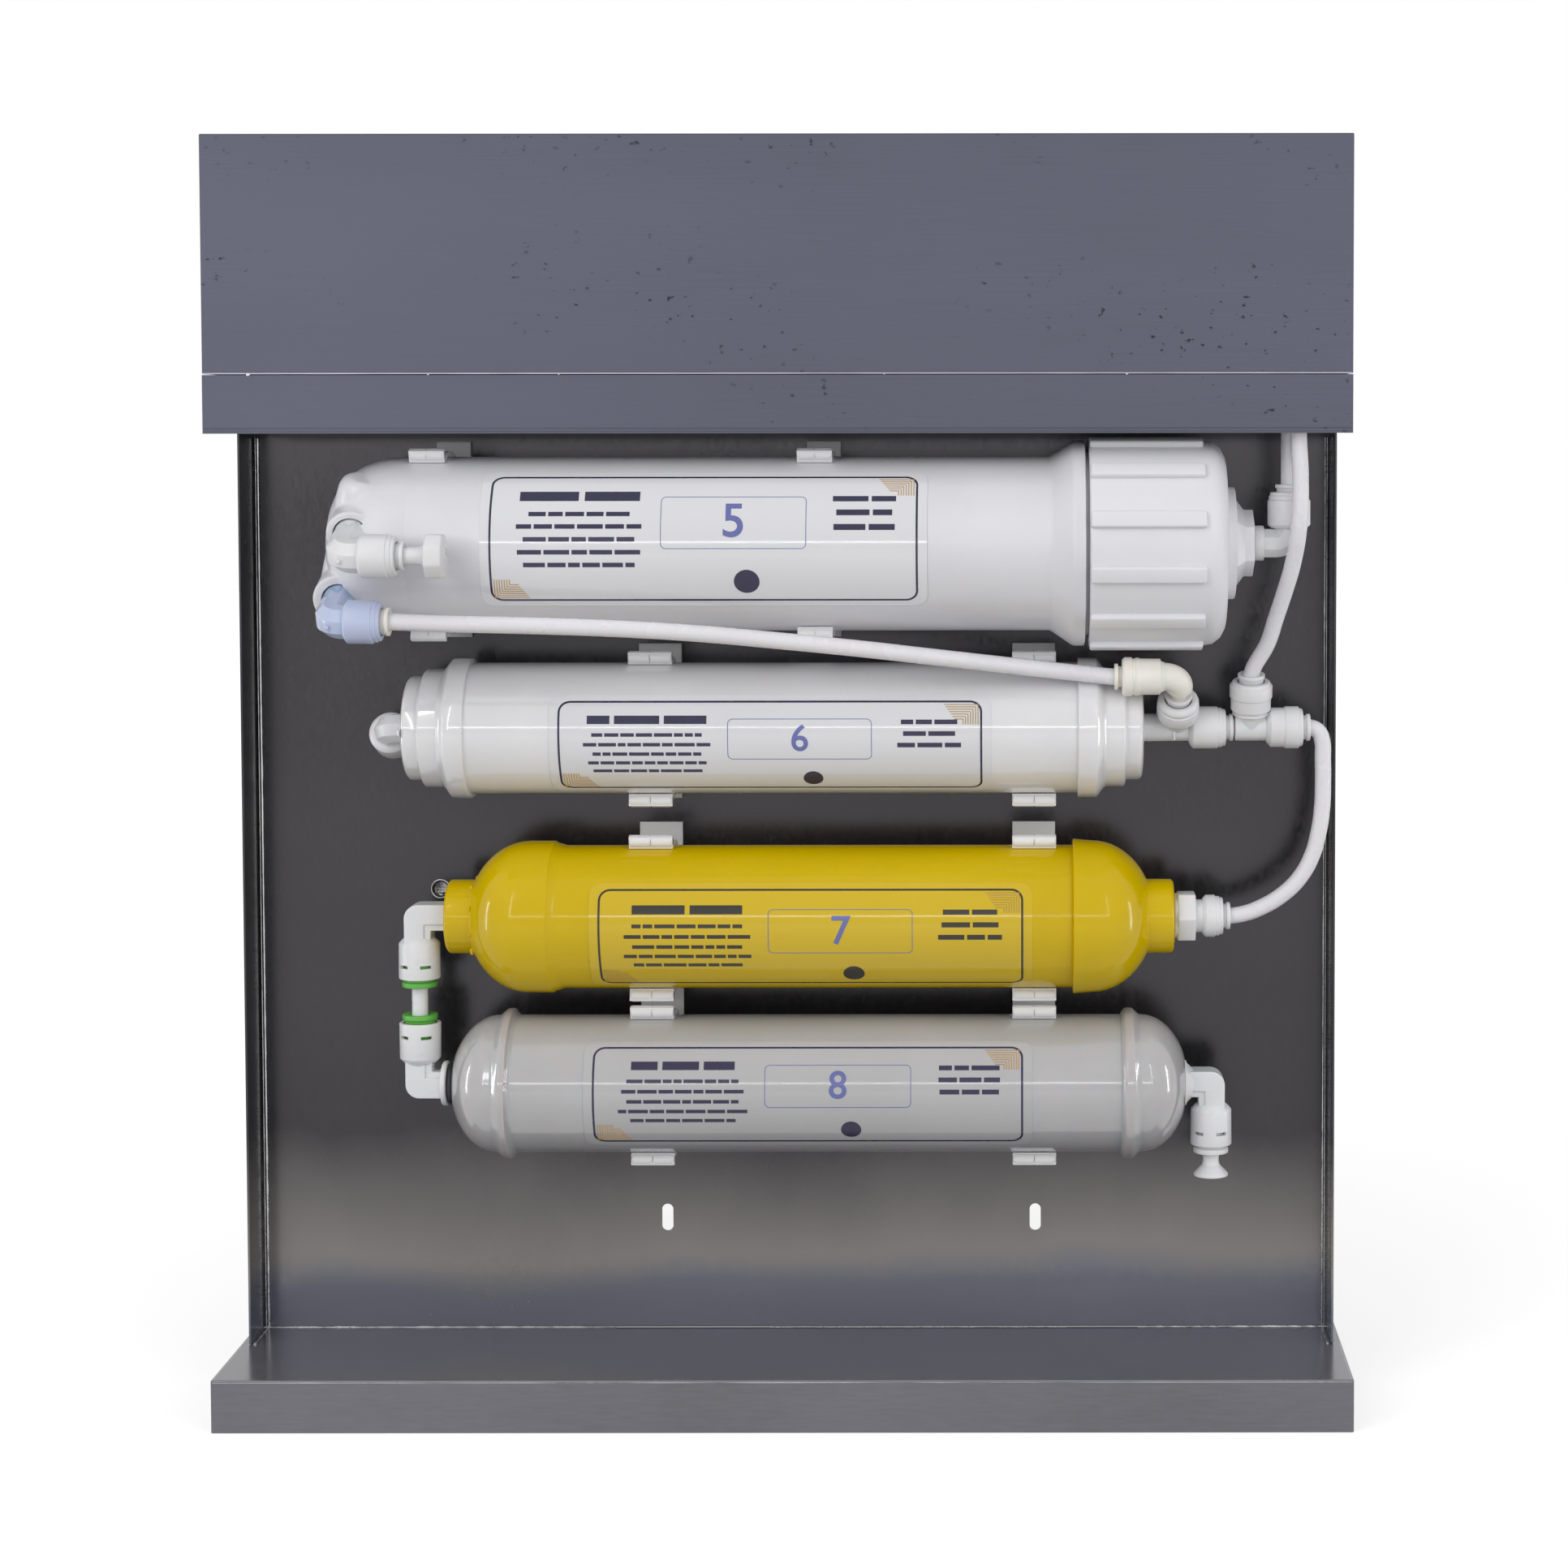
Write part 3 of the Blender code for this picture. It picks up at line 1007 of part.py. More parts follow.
def make_post_elbow(materials):
    corner = place(POST_ELBOW_X, CARBON_DEPTH, CARBON_Z)
    drop = math.radians(POST_ELBOW_DROP_DEG)
    way = -FORWARD * math.cos(drop) - UP * math.sin(drop)
    stem, stem_bore = threaded_arm(CARBON_LEFT_X - POST_ELBOW_X)
    socket, bore = socket_arm(POST_ELBOW_ARM, SOCKET_LENGTH, SOCKET_RADIUS)
    bent("post_carbon_elbow", corner, RIGHT, way, stem, socket, stem_bore, bore, materials["fitting"])
    collet("post_carbon_elbow_collet", corner + way * (POST_ELBOW_ARM + SOCKET_LENGTH), way,
           finish=materials["fitting"])


def make_cap_elbow(materials):
    corner = place(CAP_ELBOW_X, MEMBRANE_DEPTH, MEMBRANE_Z)
    face = CAP_ELBOW_REACH - GAP
    end = face + THREAD_LENGTH
    stem = arm_run() + [(face - CAP_ELBOW_FLANGE, ARM_RADIUS), (face - CAP_ELBOW_FLANGE, CAP_ELBOW_FLANGE_RADIUS),
                        (face, CAP_ELBOW_FLANGE_RADIUS), (face, THREAD_RADIUS), (end, THREAD_RADIUS)]
    stem_bore = arm_run(WATERWAY_RADIUS) + [(end, WATERWAY_RADIUS)]
    socket, bore = socket_arm(CAP_ELBOW_ARM, SOCKET_LENGTH, SOCKET_RADIUS)
    bent("cap_elbow", corner, -RIGHT, UP, stem, socket, stem_bore, bore, materials["fitting"])
    mouth = corner + UP * (CAP_ELBOW_ARM + SOCKET_LENGTH)
    collet("cap_elbow_collet", mouth, UP, finish=materials["fitting"])
    return mouth


def make_mineral_connector(materials):
    centre = place(0, MINERAL_DEPTH, MINERAL_Z)
    start = MINERAL_RIGHT_X - THREAD_LENGTH
    nut = MINERAL_RIGHT_X + 2 * GAP
    neck = nut + NUT_LENGTH
    socket = neck + NUT_NECK
    mouth = socket + NUT_SOCKET_LENGTH
    floor = mouth - SOCKET_BORE_DEPTH
    wide = SOCKET_RADIUS - SOCKET_WALL
    outline = [(start, THREAD_RADIUS), (nut, THREAD_RADIUS), (nut, NUT_RADIUS, HEX), (neck, NUT_RADIUS, HEX),
               (neck, NUT_NECK_RADIUS)]
    outline += socket_outer(socket, NUT_SOCKET_LENGTH, SOCKET_RADIUS, NUT_NECK_RADIUS)
    outline += [(mouth, wide), (floor, wide), (floor, WATERWAY_RADIUS), (start, WATERWAY_RADIUS)]
    turned("mineral_connector", outline, centre, RIGHT, FITTING_SIDES, materials["fitting"])
    collet("mineral_connector_collet", centre + RIGHT * mouth, RIGHT, finish=materials["fitting"])
    return centre + RIGHT * mouth


def quick_collet(name, mouth, direction, finish):
    return collet(name, mouth, direction, QUICK_SOCKET_RADIUS, QUICK_FLANGE_RADIUS, QUICK_FLANGE, finish)


def make_quick_elbows(materials):
    """Three elbows with clipped sockets: mineral outlet, oxygen inlet and oxygen outlet."""
    white = materials["fitting"]
    socket, bore = socket_arm(QUICK_ARM_REACH, QUICK_SOCKET_LENGTH, QUICK_SOCKET_RADIUS)
    reach = QUICK_ARM_REACH + QUICK_SOCKET_LENGTH

    corner = place(MINERAL_ELBOW_X, MINERAL_DEPTH, MINERAL_Z)
    stem, stem_bore = threaded_arm(MINERAL_LEFT_X - MINERAL_ELBOW_X)
    bent("mineral_elbow", corner, RIGHT, -UP, stem, socket, stem_bore, bore, white)
    upper_mouth = corner - UP * reach
    quick_collet("mineral_elbow_collet", upper_mouth, -UP, materials["green"])

    corner = place(MINERAL_ELBOW_X, OXYGEN_DEPTH, OXYGEN_Z)
    face = OXYGEN_LEFT_X - MINERAL_ELBOW_X
    seal_room = 2 * OXYGEN_SEAL_RADIUS + 2 * GAP
    flange = face - seal_room
    end = face + THREAD_LENGTH
    stem = arm_run() + [(flange - OXYGEN_IN_FLANGE, ARM_RADIUS), (flange - OXYGEN_IN_FLANGE, OXYGEN_IN_FLANGE_RADIUS),
                        (flange, OXYGEN_IN_FLANGE_RADIUS), (flange, THREAD_RADIUS), (end, THREAD_RADIUS)]
    stem_bore = arm_run(WATERWAY_RADIUS) + [(end, WATERWAY_RADIUS)]
    bent("oxygen_inlet_elbow", corner, RIGHT, UP, stem, socket, stem_bore, bore, white)
    seal_middle = corner + RIGHT * (face - seal_room / 2)
    ring_solid_torus("oxygen_inlet_seal", seal_middle, RIGHT, THREAD_RADIUS + GAP + OXYGEN_SEAL_RADIUS,
                     OXYGEN_SEAL_RADIUS, materials["rubber"])
    lower_mouth = corner + UP * reach
    quick_collet("oxygen_inlet_collet", lower_mouth, UP, materials["green"])

    corner = place(OXYGEN_OUT_X, OXYGEN_DEPTH, OXYGEN_Z)
    face = OXYGEN_OUT_X - OXYGEN_RIGHT_X - GAP
    end = face + THREAD_LENGTH
    stem = arm_run() + [(face - OXYGEN_OUT_CONE, ARM_RADIUS), (face, OXYGEN_OUT_CONE_RADIUS),
                        (face, THREAD_RADIUS), (end, THREAD_RADIUS)]
    stem_bore = arm_run(WATERWAY_RADIUS) + [(end, WATERWAY_RADIUS)]
    bent("oxygen_outlet_elbow", corner, -RIGHT, -UP, stem, socket, stem_bore, bore, white)
    out_mouth = corner - UP * reach
    quick_collet("oxygen_outlet_collet", out_mouth, -UP, white)
    neck = DISH_NECK + COLLET_TRAVEL + QUICK_FLANGE
    outline = [(-TUBE_INSERTION, TUBE_RADIUS), (neck, TUBE_RADIUS), (neck + DISH_HEIGHT, DISH_RADIUS),
               (neck + DISH_HEIGHT + SHEET, DISH_RADIUS)]
    turned("oxygen_plug", outline, out_mouth, -UP, FITTING_SIDES, white, closed=False)
    return upper_mouth, lower_mouth


def make_pump(materials):
    """Booster pump under the hood: a motor on a saddle and foot, and a head with two ports."""
    depth = (FRONT_DEPTH - REAR_DEPTH) / 2
    centre = place(0, depth, PUMP_Z)
    motor_end = PUMP_START_X + MOTOR_LENGTH
    foot_low = TRAY_TOP + GAP
    outline = [(PUMP_START_X, MOTOR_RADIUS - MOTOR_EDGE), (PUMP_START_X + MOTOR_EDGE, MOTOR_RADIUS),
               (motor_end, MOTOR_RADIUS)]
    motor = turned("pump_motor", outline, centre, RIGHT, FILTER_SIDES, materials["motor"], closed=False)
    middle = (PUMP_START_X + motor_end) / 2
    half_length = PUMP_FOOT_LENGTH / 2
    saddle_half = PUMP_SADDLE_WIDTH / 2
    saddle = add_object("pump_saddle", box_mesh(
        place(middle - half_length, depth + saddle_half, foot_low + PUMP_FOOT_THICKNESS / 2),
        place(middle + half_length, depth - saddle_half, PUMP_Z - MOTOR_RADIUS / 2)))
    foot_half = PUMP_FOOT_WIDTH / 2
    foot = add_object("pump_foot", box_mesh(
        place(middle - half_length, depth + foot_half, foot_low),
        place(middle + half_length, depth - foot_half, foot_low + PUMP_FOOT_THICKNESS)))
    add_boolean(motor, saddle, "UNION")
    add_boolean(motor, foot, "UNION")

    start = motor_end + GAP
    end = start + PUMP_HEAD_LENGTH
    outline = [(start, PUMP_HEAD_RADIUS), (start + PUMP_FLANGE, PUMP_HEAD_RADIUS),
               (start + PUMP_FLANGE, PUMP_WAIST_RADIUS), (end - PUMP_FLANGE, PUMP_WAIST_RADIUS),
               (end - PUMP_FLANGE, PUMP_HEAD_RADIUS), (end - MOTOR_EDGE, PUMP_HEAD_RADIUS),
               (end, PUMP_HEAD_RADIUS - MOTOR_EDGE)]
    head = turned("pump_head", outline, centre, RIGHT, FILTER_SIDES, materials["head"], closed=False)
    mouths = []
    for side, word in ((1, "outlet"), (-1, "inlet")):
        root = place(end - PUMP_FLANGE / 2, depth + side * PUMP_PORT_OFFSET, PUMP_Z)
        length = PUMP_PORT_LENGTH + PUMP_FLANGE / 2
        port = turned("pump_" + word, [(0, SOCKET_RADIUS), (length - SOCKET_EDGE, SOCKET_RADIUS),
                                       (length, SOCKET_RADIUS - SOCKET_EDGE)], root, RIGHT, FITTING_SIDES,
                      closed=False)
        add_boolean(head, port, "UNION")
        mouths.append(root + RIGHT * length)
    for mouth, word in zip(mouths, ("outlet", "inlet")):
        bore = [(-SOCKET_BORE_DEPTH, TUBE_RADIUS + GAP), (OVERRUN, TUBE_RADIUS + GAP)]
        hole = turned("pump_" + word + "_bore", bore, mouth, RIGHT, FITTING_SIDES, closed=False)
        add_boolean(head, hole, "DIFFERENCE")
    return mouths[0]


def make_tank_union(materials):
    """Bulkhead union through the upper tray: tube socket above it, tank port below."""
    mouth = TRAY_TOP + GAP + UNION_COLLAR + UNION_SOCKET_LENGTH
    low_nut = TRAY_TOP - SHEET - GAP
    bottom = low_nut - UNION_COLLAR - UNION_SOCKET_LENGTH
    bore = TUBE_RADIUS + GAP
    outline = [(bottom, SOCKET_RADIUS - SOCKET_EDGE), (bottom + SOCKET_EDGE, SOCKET_RADIUS),
               (low_nut - UNION_COLLAR, SOCKET_RADIUS), (low_nut - UNION_COLLAR, UNION_COLLAR_RADIUS, HEX),
               (low_nut, UNION_COLLAR_RADIUS, HEX), (low_nut, UNION_BODY_RADIUS),
               (TRAY_TOP + GAP, UNION_BODY_RADIUS), (TRAY_TOP + GAP, UNION_COLLAR_RADIUS, HEX),
               (TRAY_TOP + GAP + UNION_COLLAR, UNION_COLLAR_RADIUS, HEX), (TRAY_TOP + GAP + UNION_COLLAR, SOCKET_RADIUS),
               (mouth - SOCKET_EDGE, SOCKET_RADIUS), (mouth, SOCKET_RADIUS - SOCKET_EDGE),
               (mouth, bore), (bottom, bore)]
    turned("tank_union", outline, place(UNION_X, UNION_DEPTH, 0), UP, FITTING_SIDES, materials["fitting"])
    return place(UNION_X, UNION_DEPTH, mouth)


# Tube routes between their fittings, chosen by hand: (inset from the hood's right-hand side, depth, z)
TANK_ROUTE = ((29.4, 41.3, 300.1), (26.6, 44.6, 309.8), (23.6, 49.0, 320.3), (21.0, 54.0, 331.1),
              (19.2, 60.2, 346.0), (18.9, 61.8, 363.4), (19.7, 61.6, 381.0), (20.0, 61.5, 402.5),
              (20.2, 61.0, 418.0), (20.6, 57.0, 436.0), (21.0, 46.0, 451.5), (21.0, 30.0, 460.0),
              (21.0, 12.0, 462.0), (21.0, -6.0, 458.5), (21.0, -21.0, 449.0), (21.0, -31.0, 436.0),
              (21.0, -35.8, 424.5))
LOOP_ROUTE = ((9.1, 32.1, 264.8), (7.5, 32.2, 261.2), (7.2, 32.3, 254.0), (7.1, 32.3, 245.0),
              (7.4, 32.3, 235.0), (8.8, 32.3, 225.0), (11.5, 32.3, 215.5), (16.4, 32.3, 207.0),
              (23.0, 32.3, 200.6), (30.6, 32.3, 196.0), (37.5, 32.3, 193.4))

# Route of the feed tube: (inset from the elbow on the membrane cap, depth, z)
FEED_ROUTE = ((0.0, 47.0, 375.0), (0.0, 47.0, 402.5), (1.2, 46.2, 418.0), (6.0, 43.0, 431.0),
              (16.0, 38.0, 440.5), (31.0, 31.0, 445.6), (48.0, 24.5, 447.0), (66.0, 19.6, 447.0))

# Route of the tube that crosses the membrane housing: (way along from its first point, depth, z)
PERMEATE_ROUTE = ((0.0, 84.2, 310.2), (23.9, 83.0, 309.6), (59.8, 80.5, 308.2), (89.8, 77.5, 306.2),
                  (120.0, 73.5, 303.2), (150.3, 68.5, 299.8), (181.0, 63.0, 295.9), (211.9, 57.5, 292.0),
                  (236.6, 54.3, 289.0))
PERMEATE_ROUTE_INSETS = (95.4 * MM, 100.0 * MM)


def route(points, side_x):
    """Route kept at its insets from one place across."""
    return [place(side_x - inset * MM, depth * MM, z * MM) for inset, depth, z in points]


def crossing_route(points):
    """Route from the left-hand side to the right, as long as the hood's width leaves it."""
    start = PERMEATE_ROUTE_INSETS[0] - HALF_WIDTH
    span = HALF_WIDTH - PERMEATE_ROUTE_INSETS[1] - start
    whole = points[-1][0]
    return [place(start + span * along / whole, depth * MM, z * MM) for along, depth, z in points]


def straight_end(mouth, way):
    """Straight points of a tube from its seat in a socket, through the collet and just beyond."""
    return [mouth - way * TUBE_INSERTION, mouth, mouth + way * COLLET_REACH]


def make_tubes(materials, ends):
    """Tubes from fitting to fitting, each end pushed into its socket."""
    depth = TUBE_INSERTION
    finish = materials["tube"]
    permeate, elbow, tank, tank_way, loop, connector, cap, pump, union, upper, lower = ends
    tube("permeate_tube", straight_end(permeate, RIGHT) + crossing_route(PERMEATE_ROUTE)
         + list(reversed(straight_end(elbow, -RIGHT))), finish)
    tube("tank_tube", straight_end(tank, tank_way) + route(TANK_ROUTE, HALF_WIDTH) + [union, union - UP * depth], finish)
    tube("cartridge_loop_tube", straight_end(loop, RIGHT) + route(LOOP_ROUTE, HALF_WIDTH)
         + list(reversed(straight_end(connector, RIGHT))), finish)
    tube("feed_tube", straight_end(cap, UP) + route(FEED_ROUTE, CAP_ELBOW_X) + [pump, pump - RIGHT * depth], finish)
    tube("oxygen_feed_tube", [upper + UP * depth, upper, lower, lower - UP * depth], finish)


def main():
    clear_scene()
    materials = make_materials()
    steel = materials["steel"]
    make_back_panel(steel)
    open_tray("base_tray", BASE_WIDTH, BASE_TOP, BASE_LIP, steel)
    make_upper_tray(steel)
    open_tray("hood_cover", HOOD_WIDTH, HOOD_TOP, HOOD_HEIGHT - GAP, steel)
    make_clips(materials["white"])
    make_membrane_housing(materials["white"])
    make_membrane_cap(materials["white"], materials["rubber"], materials["film"])
    make_post_carbon(materials["white"], materials["carbon"])
    make_mineral(materials["yellow"], materials["ceramic"])
    make_oxygen(materials["milky"], materials["ceramic"])
    permeate = make_manifold_elbows(materials)
    elbow, tank, tank_way, loop = make_tank_branch(materials)
    make_post_elbow(materials)
    cap = make_cap_elbow(materials)
    connector = make_mineral_connector(materials)
    upper, lower = make_quick_elbows(materials)
    pump = make_pump(materials)
    union = make_tank_union(materials)
    make_tubes(materials, (permeate, elbow, tank, tank_way, loop, connector, cap, pump, union, upper, lower))


main()
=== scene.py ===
"""Looks of a water purifier: a steel chassis, a membrane housing, three inline cartridges and their tubing.

Lengths are in millimetres where a name says so and in metres elsewhere. Depth runs forward from the panel's
front face.
"""

import math
import random

import bpy
from mathutils import Matrix, Quaternion, Vector


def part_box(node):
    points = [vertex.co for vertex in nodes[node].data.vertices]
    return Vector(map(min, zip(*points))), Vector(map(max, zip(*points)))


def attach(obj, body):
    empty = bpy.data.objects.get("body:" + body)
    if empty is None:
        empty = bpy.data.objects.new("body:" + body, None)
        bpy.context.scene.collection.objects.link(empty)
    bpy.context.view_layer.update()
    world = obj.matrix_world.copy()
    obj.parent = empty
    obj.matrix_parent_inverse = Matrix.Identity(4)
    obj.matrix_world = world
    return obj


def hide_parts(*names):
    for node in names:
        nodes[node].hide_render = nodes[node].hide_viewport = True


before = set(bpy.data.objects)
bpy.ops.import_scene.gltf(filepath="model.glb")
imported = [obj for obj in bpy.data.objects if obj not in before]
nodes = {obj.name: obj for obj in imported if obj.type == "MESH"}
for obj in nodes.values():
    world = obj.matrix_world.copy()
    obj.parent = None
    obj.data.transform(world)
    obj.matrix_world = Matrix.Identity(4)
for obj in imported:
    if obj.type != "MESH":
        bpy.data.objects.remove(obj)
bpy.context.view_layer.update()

MM = 0.001
RIGHT, LEFT = Vector((1, 0, 0)), Vector((-1, 0, 0))
FORWARD, BACK = Vector((0, -1, 0)), Vector((0, 1, 0))
UP, DOWN = Vector((0, 0, 1)), Vector((0, 0, -1))
SHEET_MM = 1.0
PANEL_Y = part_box("back_panel")[1].y - SHEET_MM * MM
CHASSIS = "chassis"
QUARTER_TURN = -math.pi / 2
SMOOTH_DEG = 38
MERGE_DISTANCE = 0.01 * MM

# Depth and height of the housings' axes
MEMBRANE_AXIS = (47.0, 338.7)
CARBON_AXIS = (32.0, 266.3)
MINERAL_AXIS = (32.3, 192.5)
OXYGEN_AXIS = (32.3, 126.8)

# The manifold at the membrane housing's end is rolled about its axis
ROLL = math.radians(20)
BOSS_OUT = FORWARD * math.cos(ROLL) - UP * math.sin(ROLL)
BOSS_UP = UP * math.cos(ROLL) + FORWARD * math.sin(ROLL)


def at(x, depth, z):
    """World point from millimetres across, forward of the panel and up."""
    return Vector((x * MM, PANEL_Y - depth * MM, z * MM))


def boss_point(x, out, rise):
    """World point in the manifold's rolled frame, about the membrane housing's axis."""
    return at(x, *MEMBRANE_AXIS) + BOSS_OUT * out * MM + BOSS_UP * rise * MM


# Modelling by hand: rings are drawn out, resized and turned in edit mode

def deselect():
    """Leave edit mode with nothing selected."""
    if bpy.context.mode != "OBJECT":
        bpy.ops.object.mode_set(mode="OBJECT")
    bpy.ops.object.select_all(action="DESELECT")


def activate(piece):
    """Select one piece alone."""
    deselect()
    bpy.context.view_layer.objects.active = piece
    piece.select_set(True)


def apply_place():
    """Move the place, turn and size of the piece in hand into its mesh."""
    bpy.ops.object.transform_apply(location=True, rotation=True, scale=True)


def apply_modifier(piece, kind, **settings):
    """Add one modifier to the piece and apply it."""
    activate(piece)
    bpy.ops.object.modifier_add(type=kind)
    modifier = piece.modifiers[-1]
    for key, value in settings.items():
        setattr(modifier, key, value)
    bpy.ops.object.modifier_apply(modifier=modifier.name)


def soften(piece, width_mm, segments=2, angle_deg=30):
    """Round the piece's sharp edges, as a moulded or folded edge is."""
    apply_modifier(piece, "BEVEL", width=width_mm * MM, segments=segments, limit_method="ANGLE",
                   angle_limit=math.radians(angle_deg), use_clamp_overlap=True, loop_slide=False)


def smooth(piece, angle_deg=SMOOTH_DEG):
    """Shade the piece smooth, but for edges sharper than an angle."""
    activate(piece)
    bpy.ops.object.shade_smooth_by_angle(angle=math.radians(angle_deg))


def cut(piece, cutter):
    """Take the cutter's room out of the piece."""
    apply_modifier(piece, "BOOLEAN", operation="DIFFERENCE", object=cutter)
    bpy.data.objects.remove(cutter, do_unlink=True)


def cube(centre, size_mm, edge_mm=0.0, segments=3):
    """Block with its size in millimetres, its edges rounded in edit mode."""
    deselect()
    bpy.ops.mesh.primitive_cube_add(size=1, location=centre)
    piece = bpy.context.object
    piece.scale = Vector(size_mm) * MM
    apply_place()
    if edge_mm:
        bpy.ops.object.mode_set(mode="EDIT")
        bpy.ops.mesh.select_all(action="SELECT")
        bpy.ops.mesh.bevel(offset=edge_mm * MM, segments=segments, affect="EDGES")
        bpy.ops.object.mode_set(mode="OBJECT")
    return piece


class Draw:
    """A ring that is drawn along a path, changing its size, as a lathe or a bent pipe does."""

    def __init__(self, name, start, way, radius_mm, sides=48, twist_deg=0):
        deselect()
        self.way = way.normalized()
        self.spot = start.copy()
        self.radius = radius_mm
        turn = self.way.to_track_quat("Z", "Y") @ Quaternion((0, 0, 1), math.radians(twist_deg))
        bpy.ops.mesh.primitive_circle_add(vertices=sides, radius=radius_mm * MM, location=start,
                                          rotation=turn.to_euler())
        self.piece = bpy.context.object
        self.piece.name = name
        apply_place()
        bpy.ops.object.mode_set(mode="EDIT")
        bpy.ops.mesh.select_all(action="SELECT")

    def step(self, length_mm, radius_mm=None):
        """Draw the ring on along its way, and resize it there."""
        move = self.way * length_mm * MM
        bpy.ops.mesh.extrude_region_move(TRANSFORM_OT_translate={"value": move})
        self.spot += move
        if radius_mm is not None and radius_mm != self.radius:
            share = radius_mm / self.radius
            bpy.ops.transform.resize(value=(share,) * 3, center_override=self.spot)
            self.radius = radius_mm
        return self

    def follow(self, outline, origin=0.0):
        """Draw through (distance, radius) pairs measured along the way from origin."""
        reached = origin
        for distance, radius_mm in outline:
            self.step(distance - reached, radius_mm)
            reached = distance
        return self

    def bend(self, toward, bend_mm, steps=8):
        """Turn a square corner towards another way."""
        centre = self.spot + toward * bend_mm * MM
        bpy.ops.mesh.spin(steps=steps, angle=QUARTER_TURN, center=centre, axis=self.way.cross(toward))
        self.spot = centre + self.way * bend_mm * MM
        self.way = toward.normalized()
        return self

    def done(self, edge_mm=0.35, segments=2, angle_deg=30, shade_deg=SMOOTH_DEG):
        """Close the ends, point the faces out and round the edges."""
        bpy.ops.mesh.select_all(action="SELECT")
        bpy.ops.mesh.remove_doubles(threshold=MERGE_DISTANCE)
        bpy.ops.mesh.select_all(action="DESELECT")
        bpy.ops.mesh.select_non_manifold(extend=False, use_wire=False, use_boundary=True,
                                         use_multi_face=False, use_non_contiguous=False, use_verts=False)
        bpy.ops.mesh.fill_holes(sides=0)
        bpy.ops.mesh.select_all(action="SELECT")
        bpy.ops.mesh.normals_make_consistent(inside=False)
        bpy.ops.object.mode_set(mode="OBJECT")
        if edge_mm:
            soften(self.piece, edge_mm, segments, angle_deg)
        smooth(self.piece, shade_deg)
        return self.piece


def turned(name, start, way, outline, sides=64, **finish):
    """Lathe work: outline is (distance, radius) pairs in millimetres along the way from start."""
    first, rest = outline[0], outline[1:]
    draw = Draw(name, start + way.normalized() * first[0] * MM, way, first[1], sides)
    return draw.follow(rest, first[0]).done(**finish)


def swing(piece, centre, turn_deg):
    """Turn a piece's mesh about an axis that runs across through centre."""
    turn = Matrix.Rotation(math.radians(turn_deg), 4, "X")
    piece.data.transform(Matrix.Translation(centre) @ turn @ Matrix.Translation(-centre))


def join(name, *parts):
    """Join the parts into the first one."""
    deselect()
    for part in parts:
        part.select_set(True)
    bpy.context.view_layer.objects.active = parts[0]
    bpy.ops.object.join()
    parts[0].name = name
    return parts[0]


def keep(piece, material, body, slot, *replaced):
    """Give a finished piece its material, its body and the nodes that it stands for; its slot is not used."""
    piece.data.materials.clear()
    piece.data.materials.append(material)
    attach(piece, body)
    if replaced:
        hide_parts(*replaced)
    return piece


def copied(node, name, edge_mm, segments=2, angle_deg=25):
    """A merged copy of a folded or moulded node, with its edges rounded."""
    deselect()
    piece = nodes[node].copy()
    piece.data = nodes[node].data.copy()
    piece.name = name
    for key in list(piece.keys()):
        del piece[key]
    piece.parent = None
    piece.matrix_world = Matrix.Identity(4)
    bpy.context.scene.collection.objects.link(piece)
    activate(piece)
    bpy.ops.object.mode_set(mode="EDIT")
    bpy.ops.mesh.select_all(action="SELECT")
    bpy.ops.mesh.remove_doubles(threshold=2 * MERGE_DISTANCE)
    bpy.ops.mesh.tris_convert_to_quads(face_threshold=math.radians(1), shape_threshold=math.radians(120))
    bpy.ops.object.mode_set(mode="OBJECT")
    soften(piece, edge_mm, segments, angle_deg)
    smooth(piece)
    return piece


# Finishes

